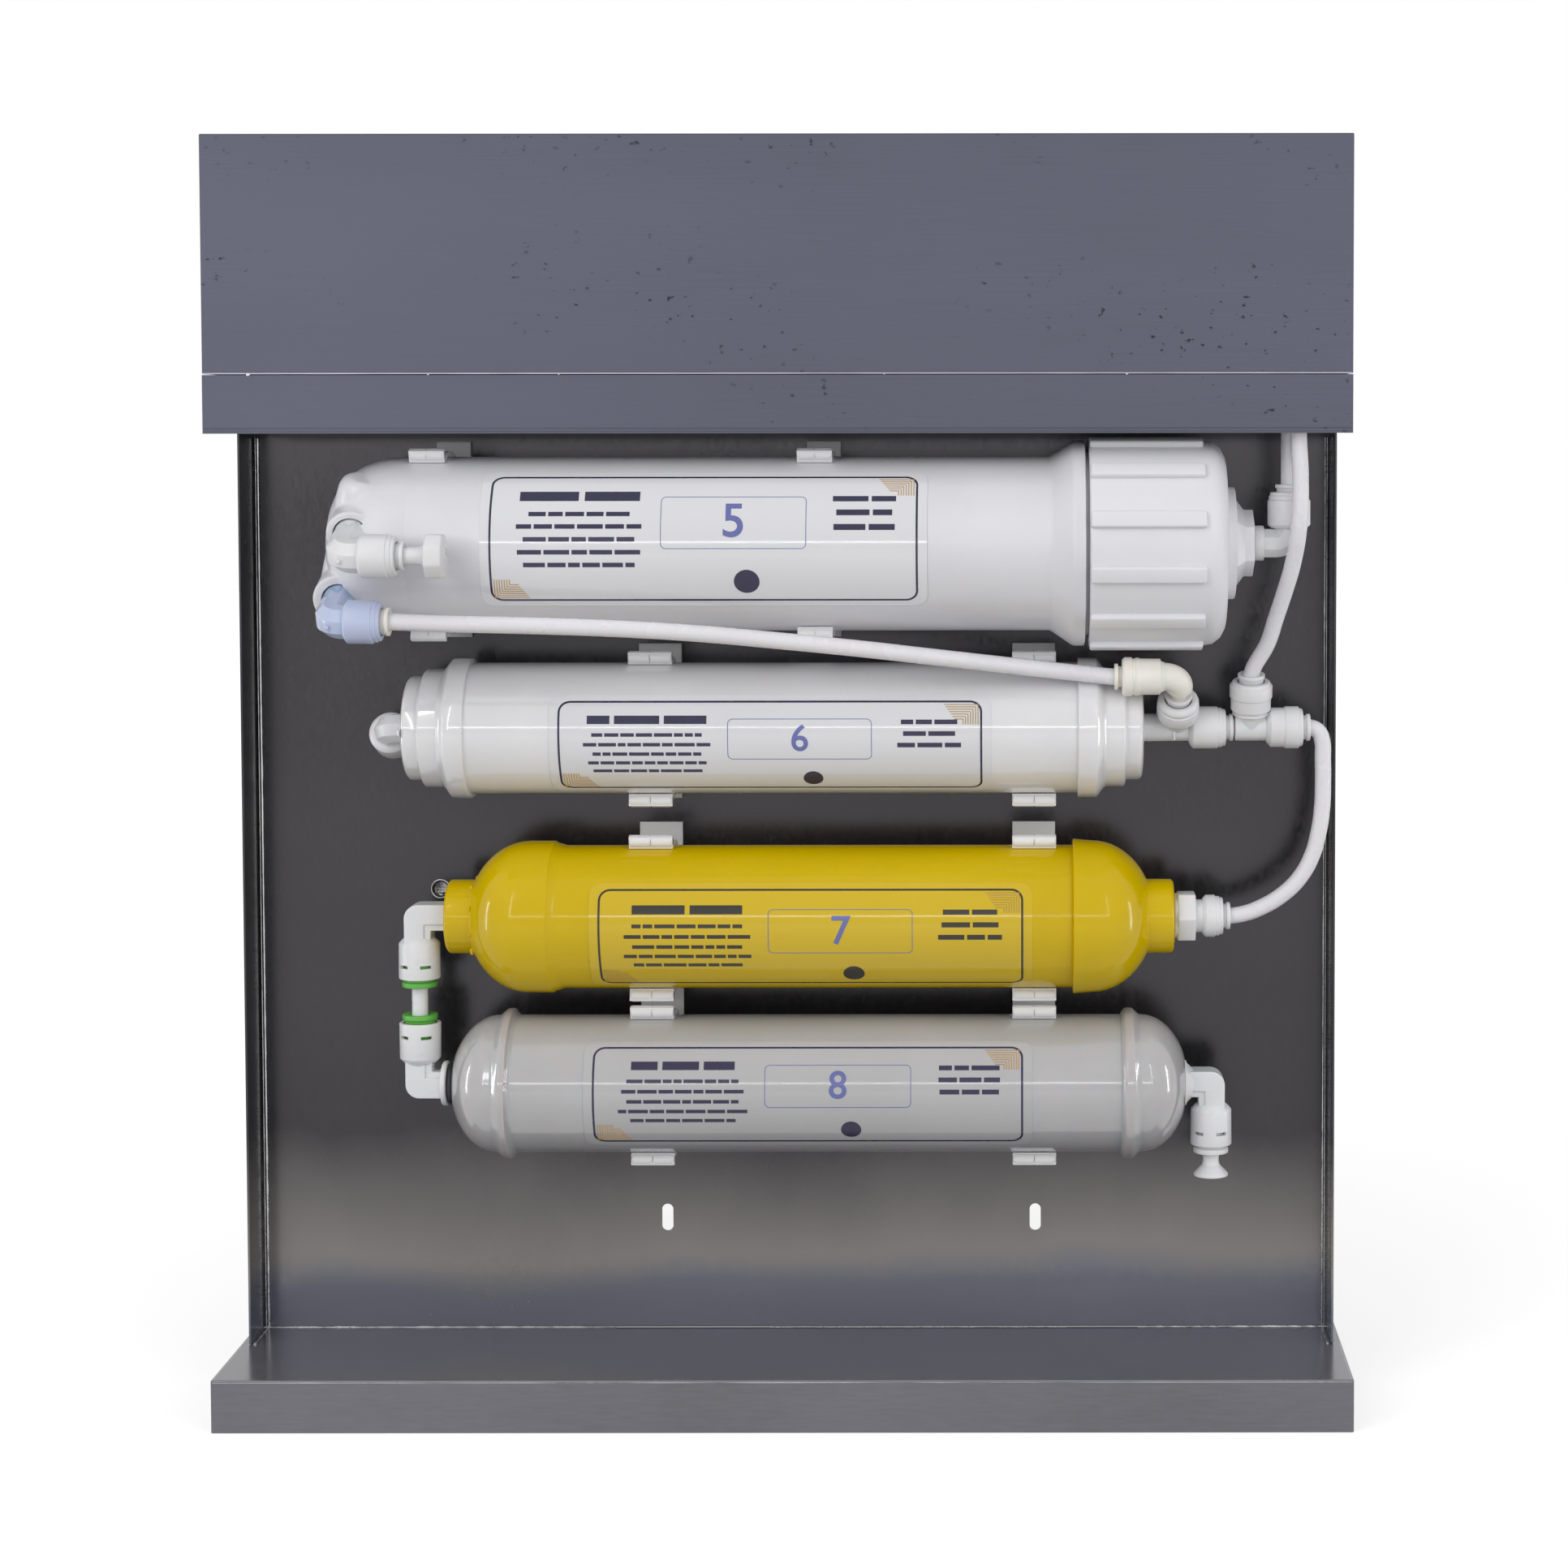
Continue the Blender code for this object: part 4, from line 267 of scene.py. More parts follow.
class Finish:
    """The shader nodes of one finish, added one after another."""

    def __init__(self, name, colour, roughness, metallic=0.0, **sockets):
        self.material = bpy.data.materials.new(name)
        self.material.use_nodes = True
        self.tree = self.material.node_tree
        self.shader = self.tree.nodes["Principled BSDF"]
        self.shader.inputs["Base Color"].default_value = (*colour, 1)
        self.shader.inputs["Roughness"].default_value = roughness
        self.shader.inputs["Metallic"].default_value = metallic
        for socket, value in sockets.items():
            self.shader.inputs[socket.replace("_", " ")].default_value = value
        self.place = self.node("ShaderNodeTexCoord").outputs["Object"]

    def node(self, kind, settings=None, **inputs):
        """Add a node; an input is named as its socket is, or i0, i1 and so on by its place."""
        made = self.tree.nodes.new(kind)
        for key, value in (settings or {}).items():
            setattr(made, key, value)
        for key, value in inputs.items():
            socket = made.inputs[int(key[1:]) if key[1:].isdigit() else key]
            if isinstance(value, bpy.types.NodeSocket):
                self.tree.links.new(value, socket)
            elif socket.type == "RGBA":
                socket.default_value = (*value, 1)
            else:
                socket.default_value = value
        return made

    def noise(self, stretch, detail=3.0, seed=0.0):
        """Noise whose grains are about one over the stretch wide, in metres."""
        moved = self.node("ShaderNodeMapping", i0=self.place, Location=(seed, seed, seed), Scale=stretch)
        return self.node("ShaderNodeTexNoise", Vector=moved.outputs[0], Scale=1.0,
                         Detail=detail).outputs["Fac"]

    def sum(self, operation, *values):
        """Reckon with two or three values, each a number or a socket."""
        inputs = {f"i{place}": value for place, value in enumerate(values)}
        return self.node("ShaderNodeMath", {"operation": operation}, **inputs).outputs[0]

    def levels(self, value, low, high, to_low=0.0, to_high=1.0):
        """Stretch the part of a value between low and high, and clip the rest."""
        return self.node("ShaderNodeMapRange", {"clamp": True}, Value=value, i1=low, i2=high, i3=to_low,
                         i4=to_high).outputs[0]

    def between(self, share, first, second):
        """Mix two colours, each a triple or a socket."""
        return self.node("ShaderNodeMix", {"data_type": "RGBA"}, Factor=share, i6=first, i7=second).outputs[2]

    def feed(self, socket_name, value):
        """Let a value drive one socket of the shader."""
        self.tree.links.new(value, self.shader.inputs[socket_name])

    def relief(self, height, depth_mm, strength=1.0):
        """Fine relief as bump: the height's whole range is as deep as said."""
        bump = self.node("ShaderNodeBump", Height=height, Distance=depth_mm * MM, Strength=strength)
        self.feed("Normal", bump.outputs[0])


def shade(colour, share):
    """Darker or lighter colour."""
    return tuple(channel * share for channel in colour)


GRAIN_SHADE = 0.14
GRAIN_SHARE = 0.45
SPECK_SHADE = 0.35
# Heights in metres where the two bands of painted reflection near the foot begin and end
REFLECTION_BAND_HEIGHTS = ((0.125, 0.075), (0.072, 0.060))


def steel_finish(name, colour, roughness, grain, relief_mm, clouds=0.25, specks=False, metallic=1.0,
                 low=None):
    """Rolled stainless sheet: grain, cloudy stains, dark specks, and low, two bands of painted reflection
    towards the foot.
    """
    finish = Finish(name, colour, roughness, metallic)
    streaks = finish.noise(grain, 4.0)
    stains = finish.noise((9, 9, 7), 4.0, 3.1)
    broad = finish.noise((3.0, 3.0, 16.0), 2.0, 7.7)
    shades = finish.sum("ADD", finish.sum("MULTIPLY", stains, 0.6), finish.sum("MULTIPLY", broad, 0.4))
    tone = finish.between(finish.levels(shades, 0.32, 0.68), shade(colour, 1 - clouds),
                          shade(colour, 1 + clouds))
    fine = finish.between(finish.levels(streaks, 0.3, 0.7), shade(colour, 1 - GRAIN_SHADE),
                          shade(colour, 1 + GRAIN_SHADE))
    result = finish.between(GRAIN_SHARE, tone, fine)
    # Painted reflections: two lighter bands low on the sheet, warm grey and then bluish, stand in for what
    # the sheet mirrors there
    if low:
        height = finish.node("ShaderNodeSeparateXYZ", i0=finish.place).outputs["Z"]
        ragged = finish.sum("MULTIPLY_ADD", stains, 0.05, height)
        for reflection_colour, (above, below) in zip(low, REFLECTION_BAND_HEIGHTS):
            result = finish.between(finish.levels(ragged, above, below), result, reflection_colour)
    if specks:
        dots = finish.noise((260, 260, 420), 2.0, 11.0)
        patches = finish.noise((14, 14, 20), 2.0, 5.0)
        marks = finish.sum("MULTIPLY", finish.levels(dots, 0.66, 0.70), finish.levels(patches, 0.50, 0.62))
        result = finish.between(marks, result, shade(colour, SPECK_SHADE))
    finish.feed("Base Color", result)
    worn = finish.sum("ADD", streaks, stains)
    finish.feed("Roughness", finish.levels(worn, 0.7, 1.3, roughness - 0.05, roughness + 0.08))
    finish.relief(streaks, relief_mm)
    return finish.material


def plastic_finish(name, colour, roughness, mottle=0.03, grain_mm=0.01, coat=None, milk=None, **sockets):
    """Moulded plastic, mottled, its gloss uneven; coat is (weight, roughness), milk is (weight, scale)."""
    if coat:
        sockets.update(Coat_Weight=coat[0], Coat_Roughness=coat[1])
    if milk:
        sockets.update(Subsurface_Weight=milk[0], Subsurface_Scale=milk[1])
    finish = Finish(name, colour, roughness, 0.0, **sockets)
    cloud = finish.noise((22, 22, 22), 3.0, 2.0)
    mottled = finish.between(finish.levels(cloud, 0.35, 0.65), shade(colour, 1 - mottle),
                             shade(colour, 1 + mottle / 2))
    finish.feed("Base Color", mottled)
    gloss = finish.noise((90, 90, 90), 2.0, 4.0)
    finish.feed("Roughness", finish.levels(gloss, 0.3, 0.7, roughness - 0.04, roughness + 0.06))
    finish.relief(finish.noise((420, 420, 420), 2.0, 9.0), grain_mm, 0.6)
    return finish.material


YELLOW = (0.64, 0.445, 0.0)
MILKY = (0.455, 0.45, 0.46)

hood_steel = steel_finish("hood_steel", (0.101, 0.105, 0.138), 0.46, (26, 1400, 1400), 0.012, 0.20,
                          specks=True)
tray_steel = steel_finish("tray_steel", (0.155, 0.152, 0.172), 0.15, (120, 900, 1100), 0.004, 0.2,
                          metallic=0.5)
# Panel steel: the same steel as the hood's, its far darker colour is painted shade from the hood and filters
# around it, while its lower roughness is its own; its two low colours are painted reflections near the foot
panel_steel = steel_finish("panel_steel", (0.046, 0.0435, 0.0475), 0.20, (900, 900, 400), 0.003, 0.22,
                           metallic=0.7, low=((0.195, 0.185, 0.180), (0.150, 0.155, 0.190)))
housing_white = plastic_finish("housing_white", (0.69, 0.685, 0.715), 0.34, coat=(0.2, 0.12),
                               milk=(0.08, 0.004))
cap_white = plastic_finish("cap_white", (0.755, 0.75, 0.78), 0.38, grain_mm=0.02, milk=(0.08, 0.004))
carbon_white = plastic_finish("carbon_white", (0.735, 0.73, 0.745), 0.14, grain_mm=0.006, coat=(0.9, 0.035),
                              milk=(0.10, 0.004))
clip_white = plastic_finish("clip_white", (0.76, 0.76, 0.77), 0.36)
fitting_white = plastic_finish("fitting_white", (0.74, 0.74, 0.755), 0.30, grain_mm=0.012, milk=(0.15, 0.003))
fitting_cream = plastic_finish("fitting_cream", (0.85, 0.82, 0.755), 0.34, 0.08, milk=(0.15, 0.003))
fitting_blue = plastic_finish("fitting_blue", (0.56, 0.63, 0.84), 0.20, 0.03, milk=(0.35, 0.004),
                              Transmission_Weight=0.12)
collet_green = plastic_finish("collet_green", (0.11, 0.42, 0.06), 0.38)
mineral_yellow = plastic_finish("mineral_yellow", YELLOW, 0.14, grain_mm=0.006, Specular_IOR_Level=0.15,
                                coat=(0.2, 0.035), milk=(0.06, 0.003))
oxygen_milky = plastic_finish("oxygen_milky", MILKY, 0.17, 0.05, 0.006, coat=(0.9, 0.035), milk=(0.4, 0.008))
tube_white = plastic_finish("tube_white", (0.75, 0.745, 0.775), 0.26, 0.02, 0.004, milk=(0.25, 0.004))
seal_black = plastic_finish("seal_black", (0.012, 0.012, 0.016), 0.45, 0.2, 0.02)
carbon_black = plastic_finish("carbon_black", (0.02, 0.02, 0.02), 0.85, 0.4, 0.4)
ceramic_beige = plastic_finish("ceramic_beige", (0.42, 0.36, 0.28), 0.8, 0.4, 0.5)
film_blue = plastic_finish("film_blue", (0.45, 0.50, 0.56), 0.45, 0.1, 0.05)
motor_black = plastic_finish("motor_black", (0.03, 0.03, 0.032), 0.42, 0.2, 0.03)
head_grey = plastic_finish("head_grey", (0.05, 0.06, 0.08), 0.5, 0.2, 0.05)


# Chassis

FLAT_AREA = 4 * MM ** 2


def folded(node, edge_mm):
    """A sheet-metal node with rounded folds between its plane faces."""
    piece = copied(node, node + "_folded", edge_mm, 3)
    for face in piece.data.polygons:
        face.use_smooth = face.area < FLAT_AREA
    return piece


def make_chassis():
    """Panel, trays and hood from the frame's own sheets."""
    rows = (("back_panel", CHASSIS, panel_steel, 0.45), ("base_tray", CHASSIS, tray_steel, 0.9),
            ("upper_tray", CHASSIS, hood_steel, 0.8), ("hood_cover", "hood_cover", hood_steel, 0.9))
    for node, body, material, edge_mm in rows:
        keep(folded(node, edge_mm), material, body, "steel", node)


# Membrane housing

BARREL_RADIUS = 33.3
DOME_LENGTH = 33.0
DOME_SHARES = (0.12, 0.25, 0.38, 0.5, 0.6, 0.7, 0.79, 0.87, 0.93, 0.97, 0.99)
VOXEL_MM = 0.6
UPPER_BOSS, LOWER_BOSS = (-159.9, 13.3), (-166.3, -13.3)
COLUMN_OUT = 8
RIB_STEP_DEG = 30


def make_membrane_housing():
    """Barrel, and a domed end with the rolled manifold column and its two bosses, blended as one moulding."""
    barrel = turned("membrane_barrel", at(0, *MEMBRANE_AXIS), RIGHT,
                    [(-141, 32.6), (-139, 33.35), (102, 33.35), (103.6, 34.2), (111, 39.3), (115.6, 39.3),
                     (115.6, 35.2), (138, 35.2), (138, 29.4), (120, 29.4)], 96, edge_mm=0.8)
    dome = Draw("manifold_end", at(-120, *MEMBRANE_AXIS), LEFT, BARREL_RADIUS, 64)
    dome.step(21)
    reached = 0
    for share in DOME_SHARES:
        dome.step(DOME_LENGTH * (share - reached), BARREL_RADIUS * (1 - share ** 2.5) ** 0.4)
        reached = share
    parts = [dome.done(edge_mm=0)]

    low, high = boss_point(LOWER_BOSS[0], COLUMN_OUT, -13.3), boss_point(-158.6, COLUMN_OUT, 20.5)
    way = (high - low).normalized()
    length = (high - low).length / MM
    lead = 9.6
    column = Draw("column", low - way * lead * MM, way, 4.0, 40)
    column.follow([(1.4, 7.0), (4.2, 9.3), (8.6, 10.6), (lead, 10.6), (lead + length * 0.6, 10.0),
                   (lead + length, 9.8), (15.6 + length, 9.2), (18.2 + length, 8.0), (19.6 + length, 5.6)])
    parts.append(column.done(edge_mm=0))
    web = Draw("column_web", boss_point(-158.6, 2, -18), way, 9.0, 40)
    web.follow([(1.0, 9.6), (30, 9.6), (38, 8.4), (43, 6.0)])
    parts.append(web.done(edge_mm=0))
    for (x, rise), radius in ((UPPER_BOSS, 9.6), (LOWER_BOSS, 10.4)):
        parts.append(turned("boss", boss_point(x, 0, rise), BOSS_OUT,
                            [(0, radius), (24.4, radius), (25, radius - 0.6)], 40, edge_mm=0))
    end = join("manifold_end", *parts)
    apply_modifier(end, "REMESH", mode="VOXEL", voxel_size=VOXEL_MM * MM)
    apply_modifier(end, "SMOOTH", factor=0.5, iterations=8)
    for x, rise in (UPPER_BOSS, LOWER_BOSS):
        cut(end, turned("bore", boss_point(x, 20.5, rise), BOSS_OUT, [(0, 6.8), (3.0, 6.8), (5.2, 7.3)], 48,
                        edge_mm=0))
    smooth(end, 50)
    keep(end, housing_white, CHASSIS, "white", "membrane_housing")
    keep(barrel, housing_white, CHASSIS, "white", "membrane_housing")


def make_membrane_cap():
    """Screw cap with twelve grip ribs and a hexagon nose."""
    start = at(117, *MEMBRANE_AXIS)
    parts = [turned("membrane_cap_body", start, RIGHT, [(0, 38.6), (0.6, 39.2), (44.5, 39.2), (47.5, 38.6),
                                                        (50.3, 36.4), (51.6, 34.0), (52, 33.2), (52, 21.5),
                                                        (56, 21.5), (56, 15.5), (56, 5.9), (47, 5.9),
                                                        (47, 35.9), (0, 35.9), (0, 38.6)], 96, edge_mm=0.5)]
    for turn_deg in range(15, 360, RIB_STEP_DEG):
        rib = cube(start + Vector((21.9, 0, 39.9)) * MM, (43.2, 6.4, 3.0), 0.9)
        swing(rib, start, turn_deg)
        smooth(rib)
        parts.append(rib)
    nose = Draw("cap_nose", at(173, *MEMBRANE_AXIS), RIGHT, 16.6, 6)
    nose.follow([(0.8, 16.6), (3.6, 12.9), (7.2, 12.9), (7.2, 6.6), (-3.0, 6.6)])
    parts.append(nose.done(edge_mm=0.5))
    keep(join("membrane_cap_ribbed", *parts), cap_white, "membrane_cap", "white", "membrane_cap")


# Cartridges

def ellipse(start, length, wide, narrow, steps=10):
    """Points of a domed end from its widest ring to the narrow one."""
    last = math.acos(narrow / wide)
    return [(start + length * math.sin(last * step / steps) / math.sin(last),
             wide * math.cos(last * step / steps)) for step in range(steps + 1)]


def mirrored(outline, middle):
    """The outline seen in a mirror that stands across it."""
    return [(2 * middle - distance, radius) for distance, radius in reversed(outline)]


def make_post_carbon():
    """Stepped cartridge with a cap at its right end and the mark of its gate."""
    start = at(0, *CARBON_AXIS)
    left = [(-147.2, 5.9), (-147.2, 18.3), (-146.6, 19.6), (-145.6, 20.3), (-140.8, 20.3), (-140.4, 22.2),
            (-139.7, 23.0), (-132.8, 23.0), (-131.6, 24.2), (-129.6, 26.9), (-128.9, 27.3), (-122.4, 27.3),
            (-121.9, 26.9), (-121.8, 25.5)]
    shell = turned("carbon_shell_body", start, RIGHT, left + [(119.6, 25.5), (119.6, 22.0)], 96, edge_mm=0.3)
    right = mirrored(left, -4.4)
    right[0] = (right[0][0], 25.8)
    cap = turned("carbon_end_cap_body", start, RIGHT, [(113.0, 25.0)] + right, 96, edge_mm=0.3)
    gate = turned("carbon_gate", start + Vector((0, -20.0, 0)) * MM, LEFT, [(146.9, 1.6), (147.7, 1.6)], 20,
                  edge_mm=0.2)
    keep(join("post_carbon_shell_moulded", shell, gate), carbon_white, CHASSIS, "white", "post_carbon_shell")
    keep(cap, carbon_white, CHASSIS, "white", "post_carbon_end_cap")


def make_mineral():
    """Domed cartridge with an end cap and weld beads round its left neck."""
    start = at(0, *MINERAL_AXIS)
    dome = mirrored(ellipse(100.3, 21.4, 29.5, 14.4), 0)
    shell = [(-132.2, 5.9), (-132.2, 13.4), (-131.2, 14.4), (-122.2, 14.4)] + dome
    shell += [(-90.6, 29.5), (-90.0, 28.9), (-86.9, 28.0), (-86.3, 27.75), (118.4, 27.75), (118.4, 24)]
    keep(turned("mineral_shell_moulded", start, RIGHT, shell, 96, edge_mm=0.35), mineral_yellow, CHASSIS,
         "yellow", "mineral_shell")
    cap = [(111.2, 27.6), (111.2, 29.7), (111.6, 30.2), (113.0, 30.0), (118.5, 29.5)]
    cap += ellipse(118.8, 21.4, 29.5, 14.4)
    cap += [(140.6, 14.4), (149.6, 14.4), (150.6, 13.4), (150.6, 5.9)]
    keep(turned("mineral_end_cap_moulded", start, RIGHT, cap, 96, edge_mm=0.35), mineral_yellow, CHASSIS,
         "yellow", "mineral_end_cap")
    seeds = random.Random(5)
    beads = []
    for step in range(9):
        turn = math.radians(step * 40 + seeds.uniform(-9, 9))
        size = seeds.uniform(0.55, 1.25)
        spot = start + Vector((-121.9, 14.6 * math.cos(turn), 14.6 * math.sin(turn))) * MM
        deselect()
        bpy.ops.mesh.primitive_uv_sphere_add(segments=16, ring_count=10, radius=size * MM, location=spot)
        drop = bpy.context.object
        drop.scale = (0.8, 1.0, seeds.uniform(1.0, 1.7))
        apply_place()
        smooth(drop, 60)
        beads.append(drop)
    keep(join("mineral_weld_beads", *beads), mineral_yellow, CHASSIS, "yellow")


def make_oxygen():
    """Domed cartridge with two rings and an end cap."""
    start = at(0, *OXYGEN_AXIS)
    dome = mirrored(ellipse(113.0, 17.0, 26.65, 11.5), 0)
    shell = [(-130.0, 5.9)] + dome
    shell += [(-112.6, 26.75), (-111.6, 27.5), (-110.2, 28.7), (-109.4, 29.2), (-107.2, 29.2), (-106.8, 28.4),
              (-106.2, 27.6), (-105.0, 26.65), (134.6, 26.65), (134.6, 23)]
    keep(turned("oxygen_shell_moulded", start, RIGHT, shell, 96, edge_mm=0.3), oxygen_milky, CHASSIS, "milky",
         "oxygen_shell")
    cap = [(129.7, 26.5), (130.0, 27.3), (131.4, 28.9), (132.2, 29.2), (134.4, 29.2), (135.2, 28.6),
           (136.6, 27.2), (137.6, 26.7)]
    cap += ellipse(137.8, 17.0, 26.65, 11.5)
    cap += [(154.8, 5.9)]
    keep(turned("oxygen_end_cap_moulded", start, RIGHT, cap, 96, edge_mm=0.3), oxygen_milky, CHASSIS, "milky",
         "oxygen_end_cap")


# Push-fit fittings

SOCKET_LENGTH, SOCKET_RADIUS = 13.8, 8.2
SOCKET_DEPTH = 3.0
ARM_START = 5.8
PERMEATE_OUT = 44.4
ELBOW_REACH = ARM_START + SOCKET_LENGTH
CAP_ELBOW_X = 194.0
CONNECTOR_X, CONNECTOR_REACH = 150.6, 19.2
QUICK_X = -143.9
WINDOW_TURNS_DEG = (28, -41, 208, 139)
WINDOW_SIZE = (1.3, 4.4, 4.0)
TUBE_RADIUS = 3.175
STEM_RADIUS = 3.17
QUICK_REACH = 24.2
EIGHT_SIDED = math.cos(math.pi / 8)
EIGHT_TWIST_DEG = 22.5
TEE_X, TANK_TEE_X = 151.9, 180.5
TEE_SOCKET_X, TANK_SOCKET_X = 157.0, 187.0
CUP_START = 3.6
STEM_WAY = (FORWARD + UP).normalized()
TANK_LEAN = math.radians(14)
TANK_MOUTH, LOOP_MOUTH_X = 19.0, TANK_SOCKET_X + SOCKET_LENGTH
STEM_CORNER, STEM_MOUTH = 30.5, 22.1
TANK_WAY = UP * math.cos(TANK_LEAN) + FORWARD * math.sin(TANK_LEAN)


def plain_socket(start, length=SOCKET_LENGTH, radius=SOCKET_RADIUS):
    """Socket with two narrow end rings, along its way from the elbow's corner; the mouth is recessed."""
    end = start + length
    return [(start, radius - 1.3), (start + 1.2, radius), (end - 3.2, radius), (end - 3.0, radius - 0.5),
            (end - 1.5, radius - 0.5), (end - 1.3, radius - 0.95), (end - 0.3, radius - 0.95),
            (end, radius - 1.4), (end, radius - 2.9), (end - SOCKET_DEPTH, radius - 2.9)]


def collared_socket(start, length=SOCKET_LENGTH, radius=SOCKET_RADIUS):
    """Socket whose mouth half is a wider screwed-on collar."""
    end = start + length
    middle = start + length * 0.48
    return [(start, radius - 2.0), (start + 1.4, radius - 0.5), (middle, radius - 0.5),
            (middle + 0.3, radius), (end - 1.6, radius), (end - 1.4, radius - 0.7), (end - 0.3, radius - 0.9),
            (end, radius - 1.3), (end, radius - 2.9), (end - SOCKET_DEPTH, radius - 2.9)]


def keep_fitting(piece, name):
    """A white fitting that stands for the node of its name."""
    keep(piece, fitting_white, CHASSIS, "fitting", name)


def make_collet(name, mouth, way, material=fitting_white, slot="fitting", flange_mm=5.3, neck_mm=4.75):
    """Release collet: a neck in the socket's mouth and a flange with a shallow groove."""
    outline = [(-1.6, neck_mm), (1.3, neck_mm), (1.5, flange_mm - 0.3), (1.5, flange_mm), (2.8, flange_mm),
               (2.95, flange_mm - 0.4), (2.8, 4.3), (2.4, 3.6)]
    keep(turned(name + "_ring", mouth, way, outline, 40, edge_mm=0.14), material, name, slot, name)


def elbow(name, corner, stem_way, socket_way, stem_from, arm_mm, socket_start=ARM_START):
    """An eight-sided arm that turns a corner, and a round socket at its end."""
    bend_mm = 5.0
    arm = Draw(name + "_arm", corner - stem_way * stem_from * MM, stem_way, arm_mm / EIGHT_SIDED, 8,
               EIGHT_TWIST_DEG)
    arm.step(stem_from - bend_mm)
    arm.bend(socket_way, bend_mm, 10)
    arm.step(socket_start - bend_mm + 1.5)
    body = arm.done(edge_mm=1.0, segments=3, angle_deg=35)
    outline = plain_socket(socket_start)
    first_at, first_radius = outline[0]
    socket = turned(name + "_socket", corner, socket_way, [(first_at, first_radius - 1.0)] + outline, 48,
                    edge_mm=0.18)
    return body, socket


def ball_mark(name, spot, way, radius_mm=0.9):
    """Round gate mark left on a moulded fitting."""
    return turned(name, spot, way, [(-0.6, radius_mm), (0.25, radius_mm), (0.4, radius_mm * 0.6)], 20,
                  edge_mm=0.1)


def make_manifold_elbows():
    """The brine elbow with its plug, and the permeate elbow, on the manifold's two bosses."""
    rows = (("brine", *UPPER_BOSS, 44.6, 7.0, fitting_white, "fitting", fitting_white, "fitting"),
            ("permeate", *LOWER_BOSS, PERMEATE_OUT, ARM_START, fitting_blue, "blue", fitting_cream, "cream"))
    mouths = []
    for name, x, rise, out, start, material, slot, ring_material, ring_slot in rows:
        corner = boss_point(x, out, rise)
        body, socket = elbow(name + "_elbow", corner, BOSS_OUT, RIGHT, out - 16.0, 5.9, start)
        root = turned(name + "_elbow_root", boss_point(x, 22.0, rise), BOSS_OUT,
                      [(-8, 6.4), (2.6, 6.4), (4.4, 6.0), (9, 5.8)], 48, edge_mm=0.4)
        mark = ball_mark(name + "_elbow_mark", corner + BOSS_OUT * 5.9 * MM, BOSS_OUT)
        keep(join(name + "_elbow_moulded", body, socket, root, mark), material, CHASSIS, slot,
             name + "_elbow")
        mouth = corner + RIGHT * (start + SOCKET_LENGTH) * MM
        make_collet(name + "_collet", mouth, RIGHT, ring_material, ring_slot)
        mouths.append(mouth)
    plug = turned("brine_plug_stem", mouths[0], RIGHT, [(-4, STEM_RADIUS), (3.4, STEM_RADIUS), (5.0, 3.3),
                                                        (7.5, 3.3), (9.4, 3.7), (10.6, 4.6), (12.0, 4.6)], 40,
                  edge_mm=0.3)
    head = Draw("brine_plug_head", mouths[0] + RIGHT * 10.8 * MM, RIGHT, 8.2 / EIGHT_SIDED, 8,
                EIGHT_TWIST_DEG)
    head.step(6.7, 8.0 / EIGHT_SIDED)
    keep(join("brine_plug_turned", plug, head.done(edge_mm=0.9, segments=3, shade_deg=30)), fitting_white,
         "brine_plug", "fitting", "brine_plug")


